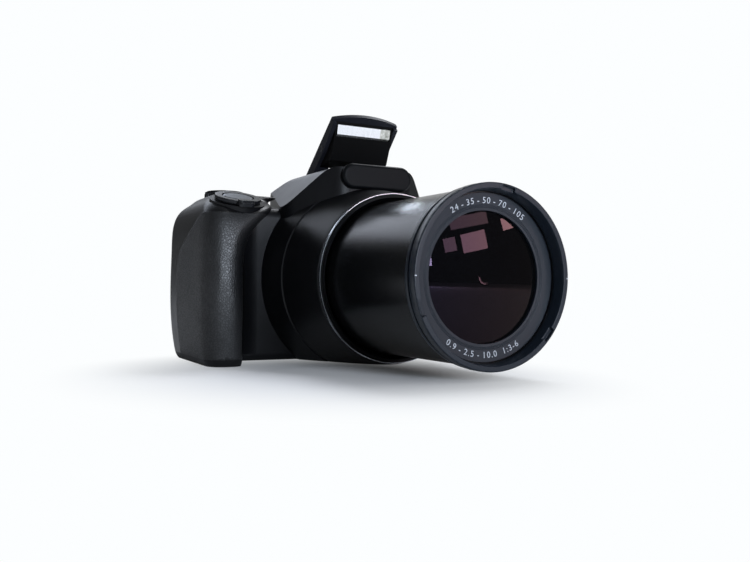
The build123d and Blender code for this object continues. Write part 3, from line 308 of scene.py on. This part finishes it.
# Dividing by the display's half sizes in millimetres makes its edge lie at 1 mm both ways.
reach = add(tree, "VectorMath", {0: from_middle.outputs[0], 1: (1 / HALF_WIDE, 0, 1 / HALF_TALL)},
            operation="MULTIPLY")
either = add(tree, "VectorMath", {0: reach.outputs[0]}, operation="ABSOLUTE")
sides = add(tree, "SeparateXYZ", {0: either.outputs[0]})
furthest = add(tree, "Math", {0: sides.outputs["X"], 1: sides.outputs["Z"]}, operation="MAXIMUM")
border = add(tree, "MapRange", {"Value": furthest.outputs[0], "From Min": 0.995 * MM,
                                "From Max": 1.005 * MM})
pixels = add(tree, "MixRGB", {"Fac": border.outputs[0], "Color1": colour("15181b"),
                              "Color2": colour("030304")})
shade(tree, Base_Color=pixels.outputs[0], Roughness=prints.outputs[0], Specular_IOR_Level=0.35)
print("screen", screen_top.name)

# %% [markdown]
# The printed marks are a thin white ink that scatters light evenly, so it reads as flat and pale.
# The boards inside are green lacquer over glass cloth, whose weave shows as a faint check under a
# gloss. Weave and speck are drawn at 0.8 and 0.4 mm, coarser than real ones, which wouldn't show.
# The sleeve of the capacitor is shrunk PVC with a wet shine, and battery and card are smooth ABS.

# %% Ink, board and sleeve
white_ink, tree, place = blank("white_pad_print_ink")
speck = add(tree, "TexNoise", {"Vector": place, "Scale": 1 / (0.4 * MM)})
ink = add(tree, "MixRGB", {"Fac": speck.outputs["Fac"], "Color1": colour("b9bfc8"),
                           "Color2": colour("d3d8df")})
shade(tree, Base_Color=ink.outputs[0], Roughness=0.5)
board_green, tree, place = blank("green_lacquered_glass_cloth")
weave = add(tree, "TexChecker", {"Vector": place, "Scale": 1 / (0.8 * MM), "Color1": colour("0d3b22"),
                                 "Color2": colour("124a2b")})
shade(tree, Base_Color=weave.outputs[0], Roughness=0.35, Coat_Weight=0.3)
sleeve = moulded("shrunk_pvc_sleeve", "0b0c22", "12142e", 0.6, 0.01, 0.25)
cell_case = moulded("smooth_grey_abs", "3a3c40", "44464b", 0.4, 0.01, 0.4)
card_case = moulded("smooth_blue_abs", "101c3c", "16244a", 0.4, 0.01, 0.35)
for made in (white_ink, board_green, sleeve, cell_case, card_case):
    print("inside", made.name)

# %% [markdown]
# The large covers have their rounded edges in the CAD model. Four other parts get theirs here: they
# arrive as loose triangles, so a Weld modifier joins them first. A small Bevel then rounds the hard
# edges that a moulding never has, and its hardened normals keep the flats flat.


# %% Dress the solids
def dress(names, material, edge_mm=0.0):
    """Gives solids their material, and rounds their hard edges where asked."""
    for name in names.split():
        solid = solids[name]
        solid.data.materials.clear()
        solid.data.materials.append(material)
        if edge_mm:
            weld = solid.modifiers.new("weld", "WELD")
            weld.merge_threshold = 0.002 * MM
            bevel = solid.modifiers.new("edge", "BEVEL")
            bevel.width = edge_mm * MM
            bevel.segments = 2
            bevel.limit_method = "ANGLE"
            bevel.angle_limit = math.radians(40)
            bevel.harden_normals = True


dress("front_cover rear_cover top_cover side_door", cover_abs)
dress("flash_cover", flash_abs)
dress("name_bar", plate_paint, 0.3)
dress("bottom_cover battery_door", base_abs)
dress("thumb_rest", grip_rubber)
dress("outer_barrel", barrel_satin)
dress("front_ring", ring_satin, 0.2)
dress("name_ring", ring_satin)
dress("lens_bezel", bezel_satin)
dress("chrome_ring", edge_chrome)
dress("lens_tube front_cell zoom_carriage focus_group battery_box plug_sockets flash_box", inner_pc)
dress("front_glass", front_coat)
dress("zoom_glass focus_glass", inner_coat)
dress("flash_window flash_tube", window_glass)
dress("flash_reflector", chrome)
dress("screen_glass screen_panel image_sensor", screen_top)
dress("four_way_pad set_button playback_button wireless_button display_button", key_abs)
dress("menu_button movie_button", key_abs)
dress("frame_seek_button frame_lock_button power_button mode_dial", key_abs)
dress("zoom_lever", key_abs, 0.35)
dress("shutter_button", blasted, 0.35)
dress("flash_pin door_pin guide_rods flash_spring strap_eye_far strap_eye_grip", steel)
dress("frame_plate sensor_plate tripod_socket zoom_motor", steel)
dress("main_board key_board top_board", board_green)
dress("flash_capacitor", sleeve)
dress("battery", cell_case)
dress("memory_card", card_case)
print("dressed", sum(1 for s in solids.values() if s.data.materials), "solids")

# %% [markdown]
# Small parts that only the eye needs are made here: printed numbers, key marks, a knurl, a screw.
# Each starts in a bmesh, is moved to its place there, and so its object can stay at the origin.
# `surface` asks a solid where a straight line first meets it, so that a mark sits on the real skin.
# Ink is thinner on a real camera. It is drawn 0.06 mm thick, so that it stands clear of the skin.


# %% Tools for small pieces
INK_THICK = 0.06 * MM


def surface(node, start, direction):
    """Where a line that starts at a place in millimetres first meets a solid, and the skin's facing."""
    hit, spot, facing, _ = solids[node].ray_cast(Vector(start) * MM, Vector(direction).normalized())
    assert hit, node
    return spot, facing


def piece(name, shape, material, body, smooth=False):
    """Turns a bmesh into an object that rides on a body."""
    bmesh.ops.remove_doubles(shape, verts=shape.verts, dist=1e-7)
    bmesh.ops.recalc_face_normals(shape, faces=shape.faces)
    mesh = bpy.data.meshes.new(name)
    shape.to_mesh(mesh)
    shape.free()
    for face in mesh.polygons:
        face.use_smooth = smooth
    mesh.materials.append(material)
    thing = bpy.data.objects.new(name, mesh)
    bpy.context.scene.collection.objects.link(thing)
    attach(thing, body)
    print("piece", name, len(mesh.polygons), "faces on", body)
    return thing


def stand(spot, facing, turn=0.0):
    """A place whose +Z is the way the skin faces and whose +Y is as near up as it can be."""
    facing = Vector(facing).normalized()
    side = Vector((0, 0, 1)) if abs(facing.z) < 0.9 else Vector((0, 1, 0))
    across = side.cross(facing).normalized()
    frame_axes = Matrix((across, facing.cross(across), facing)).transposed().to_4x4()
    return Matrix.Translation(spot) @ frame_axes @ Matrix.Rotation(turn, 4, "Z")


print("ink is", round(INK_THICK / MM, 2), "mm thick")

# %% [markdown]
# The grip's rubber is a stretched skin, so it rounds over corners that the solid only blends. The
# new skin starts as the outer side of the solid. That side is found by walking from face to face
# without ever crossing a sharp edge.


# %% Outer side of a solid
SHARP = 0.7  # radians between two faces


def smooth_sides(shape, limit):
    """Groups of faces that meet at less than a limit angle, the largest group first."""
    waiting, groups = set(shape.faces), []
    while waiting:
        stack = [waiting.pop()]
        group = set(stack)
        while stack:
            for edge in stack.pop().edges:
                if len(edge.link_faces) == 2 and edge.calc_face_angle() < limit:
                    fresh = [face for face in edge.link_faces if face in waiting]
                    waiting.difference_update(fresh)
                    group.update(fresh)
                    stack.extend(fresh)
        groups.append(group)
    return sorted(groups, key=lambda group: -sum(face.calc_area() for face in group))


print("an edge is sharp from", SHARP, "radians")

# %% [markdown]
# Long edges are halved until the mesh is even, and slivers are dissolved, because one sliver spoils
# the shading round it. The points inside the rim are then relaxed while the rim stays in its seat,
# and a wall is added inwards. The solid that the skin stands for is hidden.

# %% Grip skin
HALVINGS, LONGEST_EDGE, SLIVER, RELAX_ROUNDS, WALL = 5, 1.2 * MM, 0.05 * MM, 90, 0.45 * MM
skin = bmesh.new()
skin.from_mesh(solids["grip_rubber"].data)
bmesh.ops.remove_doubles(skin, verts=skin.verts, dist=0.002 * MM)
skin.normal_update()
outer = smooth_sides(skin, SHARP)[0]
bmesh.ops.delete(skin, geom=[face for face in skin.faces if face not in outer], context="FACES")
for _ in range(HALVINGS):
    long_edges = [edge for edge in skin.edges if edge.calc_length() > LONGEST_EDGE]
    bmesh.ops.subdivide_edges(skin, edges=long_edges, cuts=1)
    bmesh.ops.triangulate(skin, faces=skin.faces)
bmesh.ops.dissolve_degenerate(skin, dist=SLIVER, edges=skin.edges)
bmesh.ops.triangulate(skin, faces=skin.faces)
free = [vert for vert in skin.verts if not vert.is_boundary]
for _ in range(RELAX_ROUNDS):
    bmesh.ops.smooth_vert(skin, verts=free, factor=0.5, use_axis_x=True, use_axis_y=True, use_axis_z=True)
grip_skin = piece("grip_skin", skin, grip_rubber, "camera_body", smooth=True)
wall = grip_skin.modifiers.new("wall", "SOLIDIFY")
wall.thickness = WALL
wall.offset = -1
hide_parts("grip_rubber")
print("relaxed", RELAX_ROUNDS, "times")

# %% [markdown]
# Blender draws text as a curve. Each sign is made into a thin mesh and its curve is thrown away, so
# that it can be set on any surface as a printed mark.


# %% Signs as meshes
def glyph(sign, size, thick):
    """A mesh of one sign, centred on its width and standing on its base line."""
    curve = bpy.data.curves.new("sign", "FONT")
    curve.body, curve.size, curve.extrude, curve.align_x = sign, size, thick / 2, "CENTER"
    holder = bpy.data.objects.new("sign", curve)
    flat = bpy.data.meshes.new_from_object(holder)
    bpy.data.objects.remove(holder)
    bpy.data.curves.remove(curve)
    return flat


def stamp(shape, flat, place):
    """Adds a mesh to a bmesh at a place."""
    flat.transform(place)
    shape.from_mesh(flat)
    bpy.data.meshes.remove(flat)


print("signs can be stamped")

# %% [markdown]
# The name ring of a zoom lens carries its figures on a slightly hollow cone round the glass. Here
# they are plain generic numbers. Each is set on the ring at its own angle, which keeps every figure
# straight as real pad printing does.

# %% Numbers round the front glass
# The cone's depth at the radius of the base line, its slope in radians, and that radius.
RING_FACE, RING_SLOPE, TEXT_RADIUS = -111.03 * MM, 0.083, 23.9 * MM
# The height of a capital and the widths of signs are shares of the text size.
SIGN_SIZE, CAPITAL, DIGIT_WIDTH = 2.85 * MM, 0.72, 0.62
WIDTHS = {" ": 0.34, ".": 0.3, ":": 0.3, "-": 0.36}


def arc_of_numbers(shape, line, middle, upright):
    """Sets a line of signs along an arc; upright signs point their heads outwards."""
    widths = [WIDTHS.get(sign, DIGIT_WIDTH) * SIGN_SIZE for sign in line]
    run = -sum(widths) / 2
    way = 1 if upright else -1
    base = TEXT_RADIUS if upright else TEXT_RADIUS + CAPITAL * SIGN_SIZE
    for sign, width in zip(line, widths):
        angle = math.radians(middle) - way * (run + width / 2) / (TEXT_RADIUS + CAPITAL / 2 * SIGN_SIZE)
        run += width
        if sign == " ":
            continue
        out = Vector((math.cos(angle), 0, math.sin(angle)))
        head = (out * math.cos(RING_SLOPE) + Vector((0, -math.sin(RING_SLOPE), 0))) * way
        across = Vector((math.sin(angle), 0, -math.cos(angle))) * way
        axes = Matrix((across, head, across.cross(head))).transposed().to_4x4()
        depth = RING_FACE - (base - TEXT_RADIUS) * RING_SLOPE
        spot = out * base + Vector((0, depth, LENS_HEIGHT))
        stamp(shape, glyph(sign, SIGN_SIZE, INK_THICK), Matrix.Translation(spot) @ axes)


numbers = bmesh.new()
arc_of_numbers(numbers, "24 - 35 - 50 - 70 - 105", 88, True)
arc_of_numbers(numbers, "0.9 - 2.5 - 10.0  1:3-6", -92, False)
piece("ring_numbers", numbers, white_ink, "zoom_barrel")

# %% [markdown]
# Just inside the numbers the ring steps down to the glass in a few fine ridges that kill stray
# light. One small round section is spun round the lens axis once for each ridge.

# %% Baffle ridges
FIRST_RIDGE, RIDGE_GAP, RIDGE_FACE, RIDGE_THICK = 22.6, 0.4, -110.85 * MM, 0.13 * MM
ridges = bmesh.new()
for step in range(3):
    radius = (FIRST_RIDGE + RIDGE_GAP * step) * MM
    start = Matrix.Translation((radius, RIDGE_FACE - 0.02 * MM * step, LENS_HEIGHT))
    loop = bmesh.ops.create_circle(ridges, segments=8, radius=RIDGE_THICK, matrix=start)["verts"]
    edges = list({edge for vert in loop for edge in vert.link_edges})
    bmesh.ops.spin(ridges, geom=loop + edges, cent=(0, 0, LENS_HEIGHT), axis=(0, 1, 0),
                   angle=math.tau, steps=96, use_merge=True)
piece("baffle_ridges", ridges, ring_satin, "zoom_barrel", smooth=True)

# %% [markdown]
# Two small white ticks on the rim of the front ring show where an accessory lines up. The arm of the
# flash is held by a round-headed screw. Both are tiny, but they catch the light at the edges, so they
# are real shapes: bars set on the rim, and a short cone whose top is inset and pushed in as a recess.

# %% Rim marks and flash screw
ticks = bmesh.new()
RIM_RADIUS, RIM_FACE = 29.7 * MM, -116.42 * MM
for side in (-1, 1):
    spot = Matrix.Translation((side * RIM_RADIUS, RIM_FACE, LENS_HEIGHT))
    tick = Matrix.Diagonal((0.7 * MM, 0.1 * MM, 0.35 * MM, 1))
    bmesh.ops.create_cube(ticks, size=1, matrix=spot @ tick)
piece("rim_marks", ticks, white_ink, "zoom_barrel")

# The screw sits where a line from the grip side meets the arm, 3 mm across and 0.3 mm high.
spot, facing = surface("flash_cover", (-25, -17.2, 87), (1, 0, 0))
screw = bmesh.new()
place = stand(spot, facing)
bmesh.ops.create_cone(screw, cap_ends=True, segments=32, radius1=1.5 * MM, radius2=1.3 * MM,
                      depth=0.3 * MM, matrix=place)
top = max(screw.faces, key=lambda face: face.calc_center_median().dot(facing))
bmesh.ops.inset_region(screw, faces=[top], thickness=0.55 * MM, depth=-0.14 * MM)
piece("flash_screw", screw, key_abs, "flash_head")

# %% [markdown]
# The mode dial is turned by the thumb, so its side is knurled. One small rib is made and copied
# round by a spin that duplicates. Its top carries plain numbers.

# %% Mode dial
DIAL = Vector((-50.5, 0, 68.1)) * MM  # the middle of the dial's top
KNURL_RADIUS, RIB_DROP, RIB_COUNT = 7.95 * MM, 3.9 * MM, 44
FIGURE_COUNT, FIGURE_RADIUS, FIGURE_SIZE = 8, 4.6 * MM, 2.4 * MM
knurl = bmesh.new()
rib_place = Matrix.Translation(DIAL + Vector((KNURL_RADIUS, 0, -RIB_DROP)))
rib_size = Matrix.Diagonal((0.5 * MM, 0.5 * MM, 5.6 * MM, 1))
bmesh.ops.create_cube(knurl, size=1, matrix=rib_place @ rib_size)
bmesh.ops.bevel(knurl, geom=knurl.edges[:], offset=0.12 * MM, segments=2, profile=0.5, affect="EDGES",
                material=-1)
bmesh.ops.spin(knurl, geom=knurl.verts[:] + knurl.edges[:] + knurl.faces[:], cent=DIAL, axis=(0, 0, 1),
               angle=math.tau, steps=RIB_COUNT, use_duplicate=True)
piece("dial_knurl", knurl, key_abs, "dial")
figures = bmesh.new()
for count in range(FIGURE_COUNT):
    turned = Matrix.Rotation(math.tau * count / FIGURE_COUNT, 4, "Z")
    place = Matrix.Translation(DIAL) @ turned @ Matrix.Translation((0, FIGURE_RADIUS, 0.02 * MM))
    stamp(figures, glyph(str(count + 1), FIGURE_SIZE, INK_THICK), place)
piece("dial_numbers", figures, white_ink, "dial")

# %% [markdown]
# The keys on the back are known by small printed signs: a triangle for playback, three squares for
# the menu, a red dot for filming and four arrows on the pad. Each is a thin tile on its key's face.

# %% Key signs
# Red ink is the one strong colour on the back, so the eye finds the filming key at once.
red_paint = moulded("red_pad_print_ink", "8e1216", "a3171b", 0.5, 0.004, 0.45, 0.5)


def mark(shape, node, x, z, segments, radius, turn=0.0):
    """A thin regular tile on the face of a key on the back."""
    spot, facing = surface(node, (x, 40, z), (0, -1, 0))
    bmesh.ops.create_cone(shape, cap_ends=True, segments=segments, radius1=radius * MM,
                          radius2=radius * MM, depth=INK_THICK, matrix=stand(spot, facing, turn))


def back_sign(name, node, body, tiles, ink=white_ink):
    """Prints a few tiles on one key."""
    shape = bmesh.new()
    for x, z, segments, radius, turn in tiles:
        mark(shape, node, x, z, segments, radius, turn)
    piece(name, shape, ink, body)


# Each tile is x and z in millimetres, its number of sides, its radius in millimetres and its turn.
QUARTER = math.pi / 2
back_sign("playback_sign", "playback_button", "playback_key", [(-54.5, 42, 3, 1.1, QUARTER)])
back_sign("filming_dot", "movie_button", "movie_key", [(-32, 51, 32, 1.5, 0)], red_paint)
back_sign("menu_sign", "menu_button", "menu_key",
          [(-36, 7.6 + i * 0.9, 4, 0.35, QUARTER / 2) for i in range(3)])
back_sign("display_sign", "display_button", "display_key", [(-54.5, 8.5, 4, 1.2, QUARTER / 2)])
back_sign("wireless_sign", "wireless_button", "wireless_key",
          [(-36, 41.2 + i * 0.8, 24, 0.3, 0) for i in range(3)])
back_sign("pad_arrows", "four_way_pad", "pad",
          [(-45.5 + 7 * math.sin(a), 25 + 7 * math.cos(a), 3, 0.8, a)
           for a in (0, QUARTER, 2 * QUARTER, -QUARTER)])

# %% [markdown]
# The thumb rest has rows of small raised pips that grip the skin. One round pip is made for each
# place in a grid, flattened a little, and set on the rest's own surface.

# %% Thumb pips
LEFT, LOW, COLUMN_GAP, ROW_GAP = -57, 49.4, 1.9, 1.75  # in millimetres
pips = bmesh.new()
for column in range(9):
    for row in range(4):
        start = (LEFT + column * COLUMN_GAP, 40, LOW + row * ROW_GAP)
        spot, facing = surface("thumb_rest", start, (0, -1, 0))
        place = stand(spot, facing) @ Matrix.Diagonal((1, 1, 0.4, 1))
        bmesh.ops.create_uvsphere(pips, u_segments=12, v_segments=6, radius=0.5 * MM, matrix=place)
piece("thumb_pips", pips, grip_rubber, "camera_body", smooth=True)

# %% [markdown]
# The table is a matt white sheet. Next to the object it is plain paper that takes the shadow. To the
# eye, and through glass, it melts into the even white of the backdrop further out, so no edge shows.

# %% Table
TABLE_RADIUS = 4.0
table = bmesh.new()
bmesh.ops.create_circle(table, cap_ends=True, segments=96, radius=TABLE_RADIUS)
table_mesh = bpy.data.meshes.new("table")
table.to_mesh(table_mesh)
table.free()
table_top = bpy.data.objects.new("table", table_mesh)
bpy.context.scene.collection.objects.link(table_top)
WHITE = colour("fcfeff")
paper_white, tree, place = blank("matt_white_card")
fibre = add(tree, "TexNoise", {"Vector": place, "Scale": 1 / (3 * MM), "Detail": 3.0})
card = add(tree, "MixRGB", {"Fac": fibre.outputs["Fac"], "Color1": colour("f9fbfe"),
                            "Color2": colour("fcfdff")})
paper = add(tree, "BsdfDiffuse", {"Color": card.outputs[0]})
# The shadow falls to the front left, so the middle of the plain paper is moved there too.
PAPER_REACH, WHITE_REACH = 0.022, 0.1  # metres from that middle
centred = add(tree, "Mapping", {"Vector": place, "Location": (0.034, 0.066, 0), "Scale": (1.0, 0.9, 1.0)})
distance = add(tree, "VectorMath", {0: centred.outputs[0]}, operation="LENGTH")
far = add(tree, "MapRange", {"Value": distance.outputs["Value"], "From Min": PAPER_REACH,
                             "From Max": WHITE_REACH}, interpolation_type="SMOOTHSTEP")
path = add(tree, "LightPath")
seen = add(tree, "Math", {0: path.outputs["Is Camera Ray"], 1: path.outputs["Is Transmission Ray"]},
           operation="MAXIMUM")
share = add(tree, "Math", {0: seen.outputs[0], 1: far.outputs[0]}, operation="MULTIPLY")
white = add(tree, "Emission", {"Color": WHITE, "Strength": 1.0})
both = add(tree, "MixShader", {0: share.outputs[0], 1: paper.outputs[0], 2: white.outputs[0]})
add(tree, "OutputMaterial", {"Surface": both.outputs[0]})
table_mesh.materials.append(paper_white)
print("table radius", TABLE_RADIUS)

# %% [markdown]
# The room is white to the eye. As light it is a dim blue-grey. Gloss and metal show a pale backdrop
# only in the direction behind the object, because white all round would turn black plastic grey.

# %% Room light
world = bpy.data.worlds.new("studio")
bpy.context.scene.world = world
world.use_nodes = True
sky = world.node_tree
sky.nodes.clear()
BEHIND = (0.48, 0.87, 0.1)  # about where the camera looks
way = add(sky, "TexCoord").outputs["Generated"]
behind = add(sky, "VectorMath", {0: way, 1: BEHIND}, operation="DOT_PRODUCT")
backdrop = add(sky, "MapRange", {"Value": behind.outputs["Value"], "From Min": 0.86, "From Max": 0.97,
                                 "To Min": 0.12, "To Max": 0.9})
path = add(sky, "LightPath")
glossy = add(sky, "MixRGB", {"Fac": path.outputs["Is Glossy Ray"], "Color1": (0.23, 0.26, 0.32, 1),
                             "Color2": backdrop.outputs[0]})
seen = add(sky, "Math", {0: path.outputs["Is Camera Ray"], 1: path.outputs["Is Transmission Ray"]},
           operation="MAXIMUM")
level = add(sky, "MixRGB", {"Fac": seen.outputs[0], "Color1": glossy.outputs[0], "Color2": (1, 1, 1, 1)})
air = add(sky, "Background", {"Color": WHITE, "Strength": level.outputs[0]})
add(sky, "OutputWorld", {"Surface": air.outputs[0]})
print("room", world.name)

# %% [markdown]
# A long window behind draws the soft bands on cone and barrel, and the ceiling lamp, high at the back
# right, throws the shadow forwards. One window in front lights the grip. The small panes, most of them
# leaning, are placed so that the front glass mirrors them where the photograph shows reflections.

# %% Lamps
AIM = Vector((0, -0.05, 0.035))  # the middle of body and barrel, which every lamp faces


def softbox(name, azimuth, rise, reach, size, glow, tint="ffffff", lean=0.0):
    """A rectangular lamp at a compass angle from the lens axis; glow is what a mirror shows of it."""
    lamp = bpy.data.lights.new(name, "AREA")
    lamp.shape = "RECTANGLE"
    lamp.size, lamp.size_y = size
    lamp.energy = math.pi * size[0] * size[1] * glow
    lamp.color = colour(tint)[:3]
    turn, lift = math.radians(azimuth), math.radians(rise)
    away = Vector((math.sin(turn) * math.cos(lift), -math.cos(turn) * math.cos(lift), math.sin(lift)))
    box = bpy.data.objects.new(name, lamp)
    bpy.context.scene.collection.objects.link(box)
    box.location = AIM + away * reach
    facing_aim = away.to_track_quat("Z", "Y").to_matrix()
    box.rotation_euler = (facing_aim @ Matrix.Rotation(lean, 3, "Z")).to_euler()
    box.visible_camera = False


# Each row: compass angle and rise in degrees, distance and size in metres, glow, tint, lean in radians.
softbox("back_window", -170, 34, 1.4, (1.2, 0.4), 2.6, "e8f0ff")
softbox("ceiling", 122, 55, 1.3, (0.5, 0.45), 11.5, "f6f9ff")
softbox("pane_middle", 32, 9.1, 1.3, (0.17, 0.1), 9.0, "ffe2e8", 0.16)
softbox("pane_left", 24.7, 8.4, 1.3, (0.08, 0.075), 5.0, "ffeaf0", 0.16)
softbox("pane_low", 14, 6, 1.3, (0.24, 0.12), 32.0, "e6f0ff")
softbox("grip_window", -2, 14, 1.3, (0.4, 0.34), 15.0, "e4f0ff")
softbox("pane_top", 31, 13.9, 1.3, (0.26, 0.06), 3.4, "ffeef2", 0.12)
softbox("pane_right", 43.5, 13, 1.3, (0.1, 0.06), 13.0, "ffe2e8", 0.16)
print("lamps", len(bpy.data.lights))

# %% [markdown]
# The photograph was taken about three centimetres above the table, from the grip side, looking very
# slightly up. The place, turn and lens below come from a fit to rings and corners seen in it, which
# also used the usual sizes of such cameras.

# %% Camera
yaw, pitch, roll = math.radians(-28.835), math.radians(-0.612), math.radians(0.688)
ahead = Vector((-math.sin(yaw) * math.cos(pitch), math.cos(yaw) * math.cos(pitch), -math.sin(pitch)))
side = Vector((math.cos(yaw), math.sin(yaw), 0))
above = side.cross(ahead)
right = side * math.cos(roll) + above * math.sin(roll)
up = above * math.cos(roll) - side * math.sin(roll)
lens = bpy.data.cameras.new("photo_camera")
lens.sensor_width, lens.lens = 36, 39.43  # millimetres
lens.clip_start = 5 * MM
eye = bpy.data.objects.new("photo_camera", lens)
bpy.context.scene.collection.objects.link(eye)
EYE_PLACE = (-0.1588, -0.3257, 0.02875)
turned = Matrix((right, up, -ahead)).transposed().to_4x4()
eye.matrix_world = Matrix.Translation(EYE_PLACE) @ turned
bpy.context.scene.camera = eye
bpy.context.scene.view_settings.view_transform = "Standard"
print("lens", lens.lens)

# %% [markdown]

# %% Finish
print("finished")
